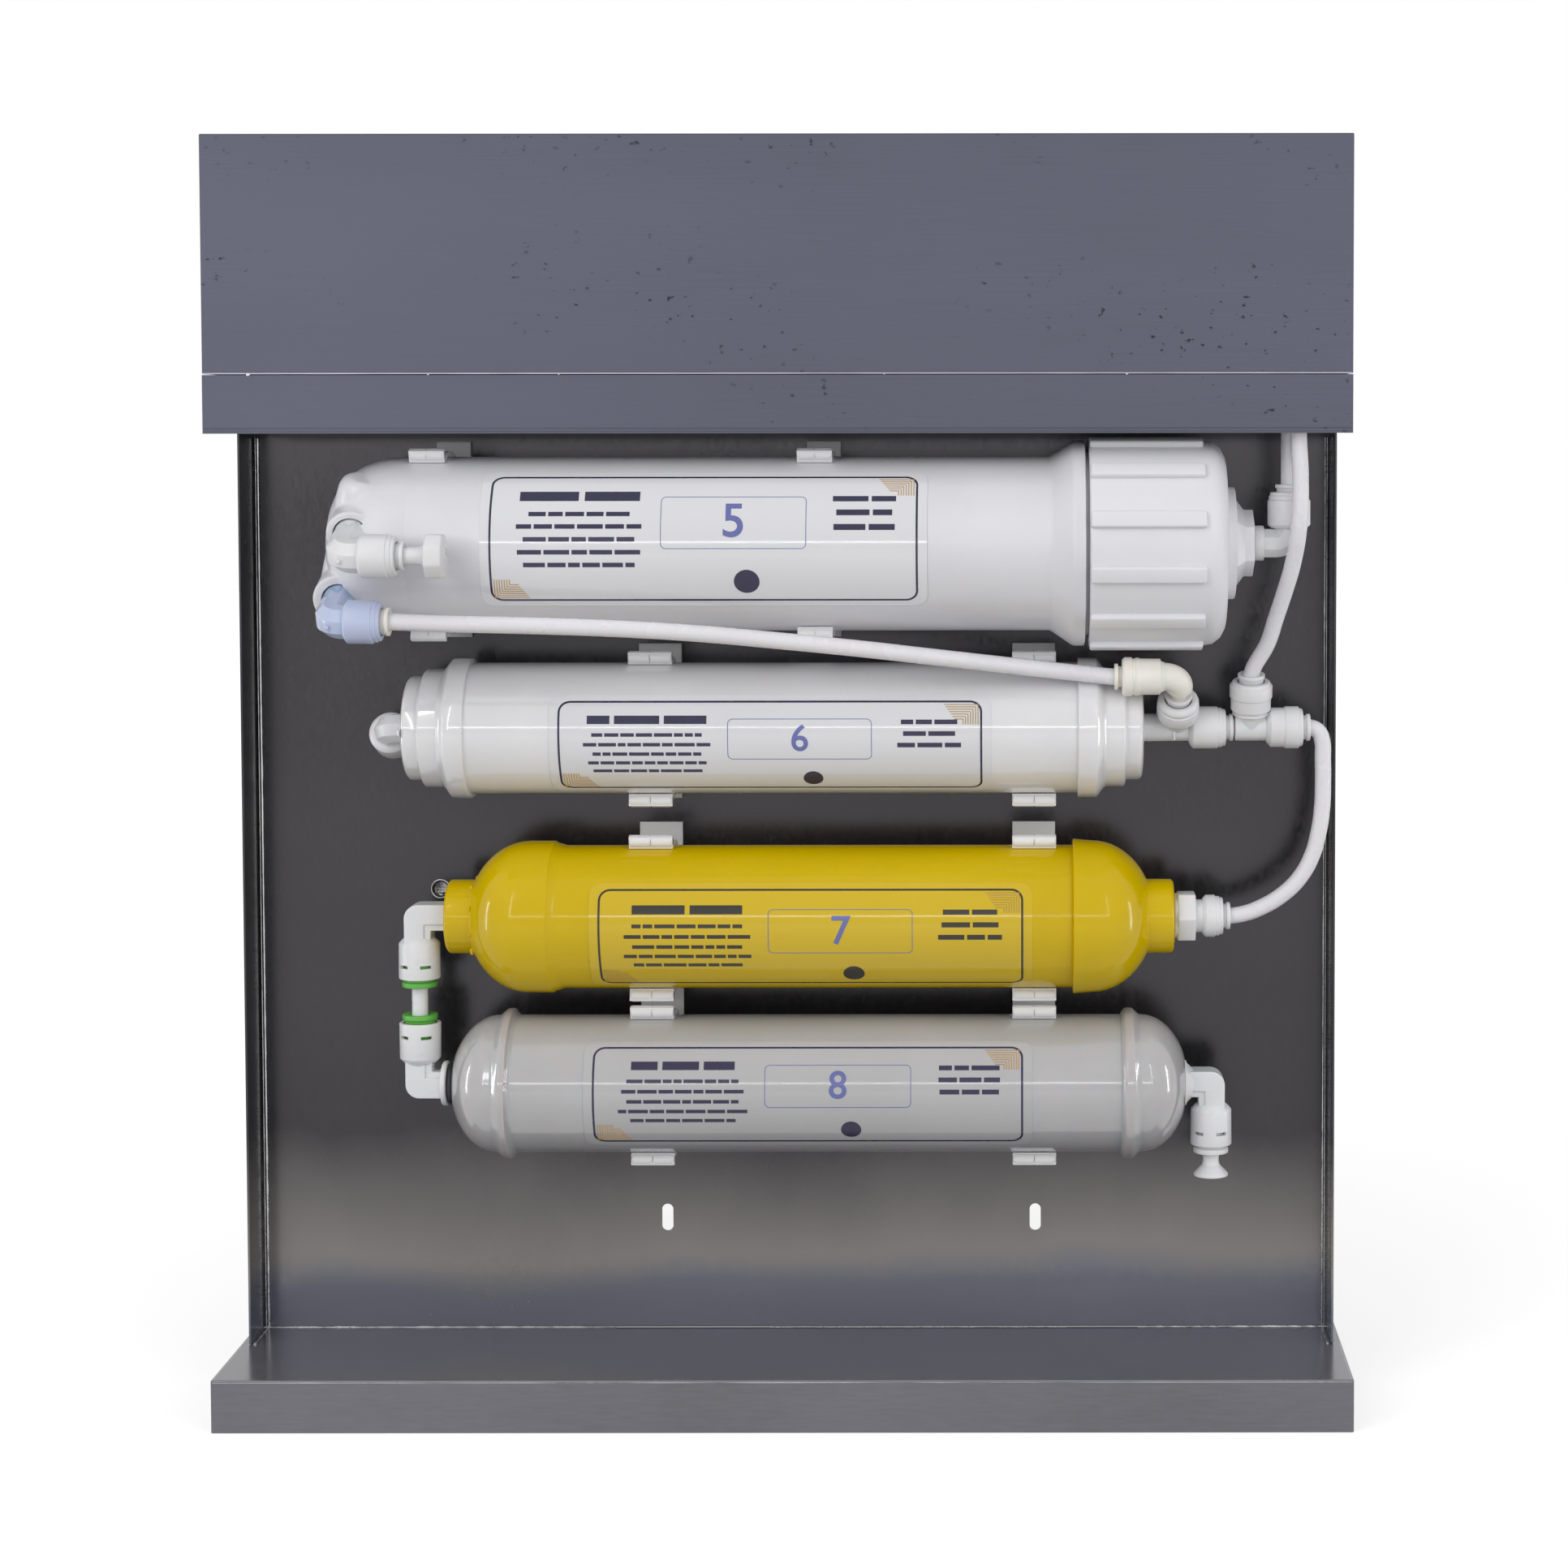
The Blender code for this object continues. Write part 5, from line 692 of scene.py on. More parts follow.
def make_tees():
    """The post-carbon tee, the tank tee beside it, and the cream stem elbow in the first one."""
    run = at(0, *CARBON_AXIS)

    def cup(start, length=SOCKET_LENGTH, radius=SOCKET_RADIUS):
        """Side socket that swells out of the run as a cup."""
        end = start + length
        return [(start - 1.6, 4.6), (start + 0.6, 5.6), (start + 3.2, radius - 1.5),
                (start + 4.6, radius - 0.35), (start + 5.6, radius), (end - 3.4, radius),
                (end - 3.2, radius - 0.35), (end - 2.2, radius - 0.35), (end - 2.0, radius - 0.1),
                (end - 0.9, radius - 0.5), (end, radius - 1.5), (end, radius - 2.9),
                (end - SOCKET_DEPTH, radius - 2.9)]

    stem_root = run + RIGHT * TEE_X * MM
    body = turned("tee_run", run, RIGHT, [(136, 5.6), (138.9, 5.6), (139.2, 5.4), (157.6, 5.2)], 40,
                  edge_mm=0.3)
    branch = turned("tee_branch", stem_root, STEM_WAY, cup(CUP_START), 48, edge_mm=0.2)
    socket = turned("tee_socket", run + RIGHT * TEE_SOCKET_X * MM, RIGHT,
                    [(-0.8, 5.0)] + plain_socket(0), 48, edge_mm=0.2)
    spike = turned("tee_gate", stem_root + (STEM_WAY + FORWARD * 3.6 + LEFT * 1.2) * MM,
                   DOWN + FORWARD * 0.35, [(-1.5, 1.7), (1.2, 1.2), (3.6, 0.5), (5.4, 0.2)], 20, edge_mm=0.1)
    keep_fitting(join("post_carbon_tee_moulded", body, branch, socket, spike), "post_carbon_tee")
    make_collet("post_carbon_tee_upper_collet", stem_root + STEM_WAY * (CUP_START + SOCKET_LENGTH) * MM,
                STEM_WAY)
    make_collet("post_carbon_tee_collet", run + RIGHT * (TEE_SOCKET_X + SOCKET_LENGTH) * MM, RIGHT)

    tank_root = run + RIGHT * TANK_TEE_X * MM
    body = turned("tank_tee_run", run, RIGHT, [(160, STEM_RADIUS), (174.3, STEM_RADIUS), (174.5, 5.2),
                                               (188.4, 5.2)], 40, edge_mm=0.3)
    foot = [(0, 5.1), (3.2, 5.2), (5.0, 5.9), (6.0, 7.3)]
    cone = turned("tank_tee_branch", tank_root, TANK_WAY, foot + collared_socket(6.4, 12.6, 8.3), 48,
                  edge_mm=0.2)
    socket = turned("tank_tee_socket", run + RIGHT * TANK_SOCKET_X * MM, RIGHT,
                    [(-0.8, 5.0)] + collared_socket(0), 48, edge_mm=0.2)
    keep_fitting(join("tank_tee_moulded", body, cone, socket), "tank_tee")
    make_collet("tank_tee_upper_collet", tank_root + TANK_WAY * TANK_MOUTH * MM, TANK_WAY)
    make_collet("tank_tee_collet", run + RIGHT * LOOP_MOUTH_X * MM, RIGHT)

    corner = stem_root + STEM_WAY * STEM_CORNER * MM
    arm = Draw("stem_elbow_arm", corner - STEM_WAY * 12.6 * MM, STEM_WAY, STEM_RADIUS, 40)
    arm.step(6.0).step(0.2, 5.3).step(0.4).bend(LEFT, 6.0, 12).step(2.6, 5.5)
    body = arm.done(edge_mm=0.3)
    rings = [(5.6, 5.4), (7.1, 6.0), (7.6, 6.9), (15.35, 6.95), (15.5, 7.25), (17.0, 7.3), (17.15, 7.0),
             (18.2, 7.0), (18.35, 7.45), (21.05, 7.5), (21.65, 7.0), (STEM_MOUTH, 6.6), (STEM_MOUTH, 4.6),
             (STEM_MOUTH - SOCKET_DEPTH, 4.6)]
    socket = turned("stem_elbow_socket", corner, LEFT, rings, 48, edge_mm=0.16)
    keep(join("stem_elbow_moulded", body, socket), fitting_cream, CHASSIS, "cream", "stem_elbow")
    make_collet("stem_elbow_collet", corner + LEFT * STEM_MOUTH * MM, LEFT, fitting_cream, "cream", 5.0, 4.0)


def make_white_elbows():
    """Post-carbon outlet elbow, the cap's inlet elbow and the mineral cartridge's hexagon connector."""
    drop = math.radians(20)
    corner = at(-155.9, *CARBON_AXIS)
    way = BACK * math.cos(drop) + DOWN * math.sin(drop)
    body, socket = elbow("post_carbon_elbow", corner, LEFT, way, 12.0, 5.4)
    keep_fitting(join("post_carbon_elbow_moulded", body, socket), "post_carbon_elbow")
    make_collet("post_carbon_elbow_collet", corner + way * ELBOW_REACH * MM, way)

    corner = at(CAP_ELBOW_X, *MEMBRANE_AXIS)
    body, socket = elbow("cap_elbow", corner, RIGHT, UP, 16.0, 5.4)
    flange = turned("cap_elbow_flange", corner, LEFT, [(9.4, 5.2), (9.8, 6.75), (13.4, 6.75), (13.6, 5.4)],
                    40, edge_mm=0.25)
    keep_fitting(join("cap_elbow_moulded", body, socket, flange), "cap_elbow")
    make_collet("cap_elbow_collet", corner + UP * ELBOW_REACH * MM, UP)

    face = at(CONNECTOR_X, *MINERAL_AXIS)
    nut = Draw("connector_nut", face + RIGHT * 1.5 * MM, RIGHT, 10.4, 6, 30)
    nut.step(7.0)
    hexagon = nut.done(edge_mm=0.5, segments=3)
    washer = turned("connector_washer", face, RIGHT, [(-4, 5.6), (0.3, 5.6), (0.35, 8.7), (1.7, 8.9),
                                                      (1.8, 8.0)], 40, edge_mm=0.15)
    shoulder = [(7.6, 7.2), (8.6, 7.2), (9.0, 6.4), (11.2, 6.4)]
    neck = turned("connector_socket", face, RIGHT, shoulder + plain_socket(11.4, 7.9), 48, edge_mm=0.16)
    keep_fitting(join("mineral_connector_moulded", hexagon, washer, neck), "mineral_connector")
    make_collet("mineral_connector_collet", face + RIGHT * CONNECTOR_REACH * MM, RIGHT)


def pick(piece, chosen):
    """Select only the vertices that a rule chooses."""
    for item in (*piece.data.polygons, *piece.data.edges):
        item.select = False
    for vertex in piece.data.vertices:
        vertex.select = chosen(vertex.co)
    activate(piece)
    bpy.ops.object.mode_set(mode="EDIT")


def square_bend(name, spot, stem_way, socket_way, stem_from, half_mm):
    """Square arm from its stem to the socket, with a tight round outer corner."""
    arm = Draw(name, spot - stem_way * stem_from * MM, stem_way, half_mm * math.sqrt(2), 4, 45)
    arm = arm.step(stem_from - half_mm).step(2 * half_mm).done(edge_mm=0)
    near = half_mm * MM / 2
    reach_mm, corner_mm = 10.7, 5.4

    def facing_socket(point):
        return (point - spot).dot(socket_way) > near and (point - spot).dot(stem_way) > -1.5 * half_mm * MM

    def outer_corner(point):
        return (point - spot).dot(socket_way) < -near and (point - spot).dot(stem_way) > near

    pick(arm, facing_socket)
    bpy.ops.mesh.extrude_region_move(TRANSFORM_OT_translate={"value": socket_way * reach_mm * MM})
    bpy.ops.object.mode_set(mode="OBJECT")
    pick(arm, outer_corner)
    bpy.ops.mesh.bevel(offset=corner_mm * MM, segments=10, affect="EDGES")
    bpy.ops.object.mode_set(mode="OBJECT")
    soften(arm, 0.5, 3, 35)
    smooth(arm)
    return arm


def quick_elbow(name, corner, stem_way, socket_way, stem_from, *extras):
    """Clipped fitting: a square arm with a web inside its corner, and a socket with four window slots."""
    inner = socket_way - stem_way
    parts = []
    for word, half_mm, shift in (("front", 3.9, FORWARD * 1.25 - inner * 1.25), ("rear", 5.1, BACK * 0.9)):
        spot = corner + shift * MM
        parts.append(square_bend(f"{name}_{word}", spot, stem_way, socket_way, stem_from, half_mm))
    start, end = 8.6, QUICK_REACH
    socket = turned(name + "_socket", corner, socket_way, [(start - 0.6, 5.6), (start, 6.4),
                                                           (start + 1.5, 7.8), (start + 1.9, 7.95),
                                                           (end - 0.3, 8.05), (end, 7.8), (end, 6.5),
                                                           (end - 7.5, 6.5)], 64, edge_mm=0.16)
    for turn_deg in WINDOW_TURNS_DEG:
        out = Quaternion(UP, math.radians(turn_deg)) @ FORWARD
        window = cube((0, 0, 0), WINDOW_SIZE)
        turn = Matrix((socket_way, out.cross(socket_way), out)).transposed().to_4x4()
        place = corner + (socket_way * (end - 5.2) + out * 7.2) * MM
        window.data.transform(Matrix.Translation(place) @ turn)
        cut(socket, window)
    smooth(socket, 30)
    keep_fitting(join(name + "_moulded", *parts, socket, *extras), name)


def quick_collet(name, mouth, way, material=fitting_white, slot="fitting"):
    """Wide release ring, with its sleeve behind the socket's windows."""
    ring = turned(name + "_ring", mouth, way, [(-5.9, 5.9), (1.0, 5.9), (1.2, 6.5), (1.5, 6.85), (3.1, 6.85),
                                               (3.3, 6.5), (3.2, 4.4), (2.6, 3.6)], 48, edge_mm=0.18)
    keep(ring, material, name, slot, name)


def make_quick_elbows():
    """The three clipped elbows at the mineral and oxygen cartridges, a seal ring and the outlet's plug."""
    corner = at(QUICK_X, *MINERAL_AXIS)
    quick_elbow("mineral_elbow", corner, LEFT, DOWN, 13.0)
    quick_collet("mineral_elbow_collet", corner + DOWN * QUICK_REACH * MM, DOWN, collet_green, "green")

    corner = at(QUICK_X, *OXYGEN_AXIS)
    flange = turned("oxygen_inlet_flange", corner, RIGHT, [(8.4, 5.0), (8.8, 8.3), (9.4, 8.75), (10.6, 8.75),
                                                           (11.0, 8.2), (11.0, 5.6), (16, 5.6)], 48,
                    edge_mm=0.2)
    quick_elbow("oxygen_inlet_elbow", corner, LEFT, UP, 10.0, flange)
    quick_collet("oxygen_inlet_collet", corner + UP * QUICK_REACH * MM, UP, collet_green, "green")
    deselect()
    bpy.ops.mesh.primitive_torus_add(major_segments=64, minor_segments=20, major_radius=7.1 * MM,
                                     minor_radius=1.25 * MM, location=corner + RIGHT * 12.4 * MM,
                                     rotation=(0, math.pi / 2, 0))
    seal = bpy.context.object
    seal.name = "oxygen_inlet_ring"
    apply_place()
    smooth(seal, 60)
    keep(seal, seal_black, CHASSIS, "rubber", "oxygen_inlet_seal")

    corner = at(165.5, *OXYGEN_AXIS)
    cone = turned("oxygen_outlet_cone", corner, LEFT,
                  [(6.6, 5.0), (9.4, 7.6), (9.8, 8.7), (10.4, 8.95), (10.7, 8.4), (10.7, 5.6), (16, 5.6)], 48,
                  edge_mm=0.2)
    quick_elbow("oxygen_outlet_elbow", corner, RIGHT, DOWN, 10.0, cone)
    mouth = corner + DOWN * QUICK_REACH * MM
    quick_collet("oxygen_outlet_collet", mouth, DOWN)
    plug = turned("oxygen_plug_turned", mouth, DOWN,
                  [(-4, STEM_RADIUS), (6.6, STEM_RADIUS), (8.2, 3.5), (10.2, 5.4), (11.4, 6.6), (11.9, 6.75),
                   (12.4, 6.75), (12.5, 6.2), (11.9, 4.0), (11.6, 1.5)], 48, edge_mm=0.15)
    keep(plug, fitting_white, "oxygen_plug", "fitting", "oxygen_plug")


# Tubes between the fittings, as (x, depth, z), the same places as the frame's

INSERTED, LEAD = 10.5, 2.8
PERMEATE_ROUTE = ((-120.6, 84.2, 310.2), (-96.7, 83.0, 309.6), (-60.8, 80.5, 308.2), (-30.8, 77.5, 306.2),
                  (-0.6, 73.5, 303.2), (29.7, 68.5, 299.8), (60.4, 63.0, 295.9), (91.3, 57.5, 292.0),
                  (116.0, 54.3, 289.0))
TANK_ROUTE = ((186.6, 41.3, 300.1), (189.4, 44.6, 309.8), (192.4, 49.0, 320.3), (195.0, 54.0, 331.1),
              (196.8, 60.2, 346.0), (197.1, 61.8, 363.4), (196.3, 61.6, 381.0), (196.0, 61.5, 402.5),
              (195.8, 61.0, 418.0), (195.4, 57.0, 436.0), (195.0, 46.0, 451.5), (195.0, 30.0, 460.0),
              (195.0, 12.0, 462.0), (195.0, -6.0, 458.5), (195.0, -21.0, 449.0), (195.0, -31.0, 436.0),
              (195.0, -35.8, 424.5))
LOOP_ROUTE = ((206.9, 32.1, 264.8), (208.5, 32.2, 261.2), (208.8, 32.3, 254.0), (208.9, 32.3, 245.0),
              (208.6, 32.3, 235.0), (207.2, 32.3, 225.0), (204.5, 32.3, 215.5), (199.6, 32.3, 207.0),
              (193.0, 32.3, 200.6), (185.4, 32.3, 196.0), (178.5, 32.3, 193.4))
FEED_ROUTE = ((194.0, 47.0, 375.0), (194.0, 47.0, 402.5), (192.8, 46.2, 418.0), (188.0, 43.0, 431.0),
              (178.0, 38.0, 440.5), (163.0, 31.0, 445.6), (146.0, 24.5, 447.0), (128.0, 19.6, 447.0))


def tube(name, *stretches):
    """Smooth tube through the points of its stretches, drawn as a round curve and made a mesh."""
    points = [point for stretch in stretches for point in stretch]
    deselect()
    bpy.ops.curve.primitive_bezier_curve_add()
    curve = bpy.context.object
    curve.name = name + "_drawn"
    data = curve.data
    data.splines.clear()
    spline = data.splines.new("BEZIER")
    spline.bezier_points.add(len(points) - 1)
    for knot, point in zip(spline.bezier_points, points):
        knot.co = point
        knot.handle_left_type = knot.handle_right_type = "AUTO"
    data.dimensions = "3D"
    data.resolution_u = 8
    data.bevel_depth = TUBE_RADIUS * MM
    data.bevel_resolution = 6
    data.use_fill_caps = True
    curve.matrix_world = Matrix.Identity(4)
    activate(curve)
    bpy.ops.object.convert(target="MESH")
    piece = bpy.context.object
    smooth(piece, 50)
    keep(piece, tube_white, CHASSIS, "tube", name)


def straight_end(mouth, way):
    """The first points of a tube, straight through its fitting's mouth."""
    return [mouth - way * INSERTED * MM, mouth, mouth + way * LEAD * MM]


def route(points):
    """The places of a route's rows."""
    return [at(*point) for point in points]


def make_tubes():
    """The five tubes, each from one fitting's mouth to another's."""
    x, rise = LOWER_BOSS
    permeate = boss_point(x, PERMEATE_OUT, rise) + RIGHT * ELBOW_REACH * MM
    stem = at(TEE_X, *CARBON_AXIS) + STEM_WAY * STEM_CORNER * MM + LEFT * STEM_MOUTH * MM
    tube("permeate_tube", straight_end(permeate, RIGHT), route(PERMEATE_ROUTE),
         straight_end(stem, LEFT)[::-1])
    loop = at(LOOP_MOUTH_X, *CARBON_AXIS)
    connector = at(CONNECTOR_X + CONNECTOR_REACH, *MINERAL_AXIS)
    tube("cartridge_loop_tube", straight_end(loop, RIGHT), route(LOOP_ROUTE),
         straight_end(connector, RIGHT)[::-1])
    upper = at(QUICK_X, *MINERAL_AXIS) + DOWN * QUICK_REACH * MM
    lower = at(QUICK_X, *OXYGEN_AXIS) + UP * QUICK_REACH * MM
    tube("oxygen_feed_tube", [upper + UP * INSERTED * MM, upper, lower, lower + DOWN * INSERTED * MM])
    tank = at(TANK_TEE_X, *CARBON_AXIS) + TANK_WAY * TANK_MOUTH * MM
    union = at(*UNION_PLACE) + UP * UNION_LENGTH * MM
    tube("tank_tube", straight_end(tank, TANK_WAY), route(TANK_ROUTE), [union, union + DOWN * INSERTED * MM])
    cap = at(CAP_ELBOW_X, *MEMBRANE_AXIS) + UP * ELBOW_REACH * MM
    depth, height = PUMP_AXIS
    pump = at(PORT_X + PORT_LENGTH, depth + PORT_SIDE, height)
    tube("feed_tube", straight_end(cap, UP), route(FEED_ROUTE), [pump, pump + LEFT * INSERTED * MM])


# Snap clips: their axis, radius, wrap in degrees, places across and width

CLIP_WIDTH = 17.0
LIP_RADIUS = 2.5
LIP_GAP = 0.3
SEAM_HALF = 0.12
CARTRIDGE_CLIPS = (-52.5, 96.3)
CLIP_ROWS = {"membrane": (MEMBRANE_AXIS, 33.35, 112.0, (-134.0, 13.0), 13.4),
             "carbon": (CARBON_AXIS, 25.5, 103.0, CARTRIDGE_CLIPS, CLIP_WIDTH),
             "mineral": (MINERAL_AXIS, 27.75, 103.0, CARTRIDGE_CLIPS, CLIP_WIDTH),
             "oxygen": (OXYGEN_AXIS, 26.65, 103.0, CARTRIDGE_CLIPS, CLIP_WIDTH)}


def make_clips():
    """Snap clips: the moulded arms, with a rolled lip at each tip that is parted in the middle."""
    for word, (axis, radius, wrap_deg, places, width) in CLIP_ROWS.items():
        depth, height = axis
        turn = math.radians(wrap_deg - 3.2)
        reach = radius + LIP_GAP + LIP_RADIUS
        half = width / 2
        outline = [(SEAM_HALF, LIP_RADIUS - 0.25), (SEAM_HALF + 0.25, LIP_RADIUS), (half - 0.9, LIP_RADIUS),
                   (half - 0.3, LIP_RADIUS - 0.3), (half, LIP_RADIUS - 0.9)]
        for x, side_word in zip(places, ("left", "right")):
            node = f"{word}_clip_{side_word}"
            piece = copied(node, node + "_moulded", 0.6, 3)
            middle = Matrix.Translation(at(x, 0, 0))
            narrow = Matrix.Diagonal((width / CLIP_WIDTH, 1, 1, 1))
            piece.data.transform(middle @ narrow @ middle.inverted())
            parts = [piece]
            for side in (-1, 1):
                spot = at(x, depth - reach * math.cos(turn), height + side * reach * math.sin(turn))
                for way in (LEFT, RIGHT):
                    parts.append(turned("lip", spot, way, outline, 32, edge_mm=0))
            keep(join(node + "_moulded", *parts), clip_white, CHASSIS, "white", node)


# Booster pump and tank union, seen when the hood is lifted

PUMP_AXIS = (-1.5, 447.0)
MOTOR_X = -26
PORT_X, PORT_LENGTH, PORT_SIDE = 77.8, 18.5, 19
UNION_PLACE, UNION_LENGTH = (195.0, -36.5, 383.7), 37.6
RIBS = 12
FIXED_COLLET = [(-4, 4.9), (1.0, 4.9), (1.0, 5.3), (2.2, 5.3), (2.2, 3.4), (-4, 3.4)]


def block(centre, size_mm, edge_mm, segments=3):
    """Rounded block."""
    piece = cube(centre, size_mm)
    soften(piece, edge_mm, segments)
    smooth(piece)
    return piece


def screw_head(place, way, radius_mm=3.0, height_mm=2.2):
    """Pan head with a round socket."""
    outline = [(-0.4, radius_mm), (height_mm - 0.7, radius_mm), (height_mm, radius_mm - 0.8),
               (height_mm, radius_mm * 0.5), (height_mm - 1.2, radius_mm * 0.5)]
    return turned("screw_head", place, way, outline, 24, edge_mm=0)


def make_pump():
    """The booster pump: a motor can on its foot, and a ribbed head with two ports."""
    depth, height = PUMP_AXIS
    outline = [(0.8, 7.0), (3.0, 7.0), (3.0, 27.5), (0, 28.6), (0.2, 31.0), (2.5, 33.0), (8.0, 33.0),
               (8.4, 32.2), (9.6, 32.2), (10.0, 33.0), (94.0, 33.0), (94.4, 32.2), (95.6, 32.2), (96.0, 33.0),
               (103.4, 33.0), (104.0, 32.4)]
    parts = [turned("motor_can", at(-78, depth, height), RIGHT, outline, 96, edge_mm=0.25),
             block(at(MOTOR_X, depth, 417.65), (60, 34, 25.7), 1.6),
             block(at(MOTOR_X, depth, 404.8), (60, 70, 3), 0.8)]
    for side in (-1, 1):
        for end in (-1, 1):
            parts.append(screw_head(at(MOTOR_X + end * 23, depth + side * 27, 406.3), UP, 3.4, 2.0))
    keep(join("pump_motor_drawn", *parts), motor_black, CHASSIS, "motor", "pump_motor")

    start = at(26.3, depth, height)
    outline = [(0, 37.0), (0.8, 38.0), (8.2, 38.0), (9.0, 37.2), (9.0, 35.0), (47.0, 35.0), (47.0, 37.2),
               (47.8, 38.0), (53.5, 38.0), (56.0, 35.5), (56.0, 22.0), (54.6, 20.6), (54.6, 0.8)]
    parts = [turned("pump_body", start, RIGHT, outline, 96, edge_mm=0.3)]
    for rib in range(RIBS):
        turn_deg = (rib + 0.5) * 360 / RIBS
        piece = block(start + (RIGHT * 28 + FORWARD * 35.6) * MM, (38.4, 3.0, 2.6), 0.5, 2)
        swing(piece, start, turn_deg)
        parts.append(piece)
        if rib % 2 == 0:
            out = Matrix.Rotation(math.radians(turn_deg), 4, "X") @ FORWARD
            parts.append(screw_head(start + (RIGHT * 56 + out * 29.5) * MM, RIGHT))
    for side in (1, -1):
        root = at(PORT_X, depth + side * PORT_SIDE, height)
        parts.append(turned("pump_port", root, RIGHT, [(0, 8.2), (PORT_LENGTH - 0.8, 8.2), (PORT_LENGTH, 7.4),
                                                       (PORT_LENGTH, 3.5), (7.0, 3.5)], 48, edge_mm=0.2))
        parts.append(turned("pump_collet", root + RIGHT * PORT_LENGTH * MM, RIGHT, FIXED_COLLET, 40,
                            edge_mm=0.15))
    keep(join("pump_head_drawn", *parts), head_grey, CHASSIS, "head", "pump_head")


def make_tank_union():
    """The union between the tank tube and its outlet, with two nuts."""
    start, end = at(*UNION_PLACE), UNION_LENGTH
    parts = [turned("union_body", start, UP, [(0, 3.5), (0, 7.4), (0.8, 8.2), (14, 8.2), (14, 6.0),
                                              (23.6, 6.0), (23.6, 8.2), (end - 0.8, 8.2), (end, 7.4),
                                              (end, 3.5), (0, 3.5)], 48, edge_mm=0.2)]
    nut = [(0, 6.0), (0, 8.9), (0.5, 9.5), (3.5, 9.5), (4.0, 8.9), (4.0, 6.0), (0, 6.0)]
    for low in (14.0, 19.6):
        parts.append(turned("union_nut", start + UP * low * MM, UP, nut, 6, edge_mm=0.2))
    parts.append(turned("union_collet", start + UP * end * MM, UP, FIXED_COLLET, 40, edge_mm=0.15))
    keep(join("tank_union_drawn", *parts), fitting_white, CHASSIS, "fitting", "tank_union")


# Labels: flat pages of plain blocks, then bent round their cartridge

INSET = 2.6
FILM_LIFT, FILM_THICK = 0.02, 0.08
PRINT_LIFT, PRINT_THICK = 0.12, 0.04
BAR_LIFT, BAR_THICK = 0.14, 0.06
WORD_GAP = 0.55
NUMERAL_SIZE = 1.35
STRIPS = 26
RULES, RULE_LENGTH, RULE_STEP, RULE_SHORTER, RULE_LINE = 7, 13.0, 0.95, 1.6, 0.34


def page_frame(name, width, height, corner_mm, line_mm=0, lift_mm=PRINT_LIFT, thick_mm=PRINT_THICK):
    """Rounded rectangle on the page; a line width leaves only its border."""
    deselect()
    bpy.ops.mesh.primitive_plane_add(size=1, location=(0, 0, lift_mm * MM))
    piece = bpy.context.object
    piece.name = name
    piece.scale = (width * MM, height * MM, 1)
    apply_place()
    bpy.ops.object.mode_set(mode="EDIT")
    bpy.ops.mesh.select_all(action="SELECT")
    bpy.ops.mesh.bevel(offset=corner_mm * MM, segments=8, affect="VERTICES")
    if line_mm:
        bpy.ops.mesh.inset(thickness=line_mm * MM)
        bpy.ops.mesh.delete(type="FACE")
    bpy.ops.mesh.select_all(action="SELECT")
    bpy.ops.mesh.extrude_region_move(TRANSFORM_OT_translate={"value": (0, 0, thick_mm * MM)})
    bpy.ops.mesh.select_all(action="SELECT")
    bpy.ops.mesh.normals_make_consistent(inside=False)
    bpy.ops.object.mode_set(mode="OBJECT")
    return piece


def page_block(x, y, width, height):
    """Plain bar printed on the page, added in edit mode to the piece in hand."""
    bpy.ops.mesh.primitive_cube_add(size=1, location=(x * MM, y * MM, BAR_LIFT * MM),
                                    scale=(width * MM, height * MM, BAR_THICK * MM))


def page_words(x, y, width, height, seeds):
    """A centred line of bars as long as words."""
    room = width
    lengths = []
    while room > height * 2:
        length = min(room, seeds.uniform(2.2, 6.0) * height)
        lengths.append(length)
        room -= length + height * WORD_GAP
    total = sum(lengths) + height * WORD_GAP * (len(lengths) - 1)
    left = x - total / 2
    for length in lengths:
        page_block(left + length / 2, y, length, height)
        left += length + height * WORD_GAP


def page_numeral(word, height):
    """A stage number in the middle of the page."""
    deselect()
    bpy.ops.object.text_add(location=(0, 0, 0))
    text = bpy.context.object
    text.data.body = word
    text.data.align_x, text.data.align_y = "CENTER", "CENTER"
    text.data.extrude = 0.02
    text.data.offset = 0.012
    bpy.ops.object.convert(target="MESH")
    text.scale = (height * NUMERAL_SIZE * MM, height * NUMERAL_SIZE * MM, 1.5 * MM)
    text.location = (0, 0, BAR_LIFT * MM)
    apply_place()
    return text


def wrap(piece, height, radius_mm, axis_point, middle_deg):
    """Cut the flat page into narrow strips, bend it round the axis and move it on to its cartridge."""
    activate(piece)
    bpy.ops.object.mode_set(mode="EDIT")
    for strip in range(1, STRIPS):
        bpy.ops.mesh.select_all(action="SELECT")
        bpy.ops.mesh.bisect(plane_co=(0, (strip / STRIPS - 0.5) * height * MM, 0), plane_no=(0, 1, 0))
    bpy.ops.object.mode_set(mode="OBJECT")
    page_to_local = Matrix(((0, 1, 0), (0, 0, -1), (-1, 0, 0))).to_4x4()
    piece.data.transform(page_to_local)
    spread = [vertex.co.x for vertex in piece.data.vertices]
    apply_modifier(piece, "SIMPLE_DEFORM", deform_method="BEND", deform_axis="Z",
                   angle=(max(spread) - min(spread)) / (radius_mm * MM))
    middle = math.radians(middle_deg)
    out = FORWARD * math.cos(middle) + UP * math.sin(middle)
    up = UP * math.cos(middle) - FORWARD * math.sin(middle)
    local_to_world = Matrix((up, -out, LEFT)).transposed().to_4x4()
    piece.data.transform(Matrix.Translation(axis_point) @ local_to_world
                         @ Matrix.Translation((0, -radius_mm * MM, 0)))
    smooth(piece, 30)


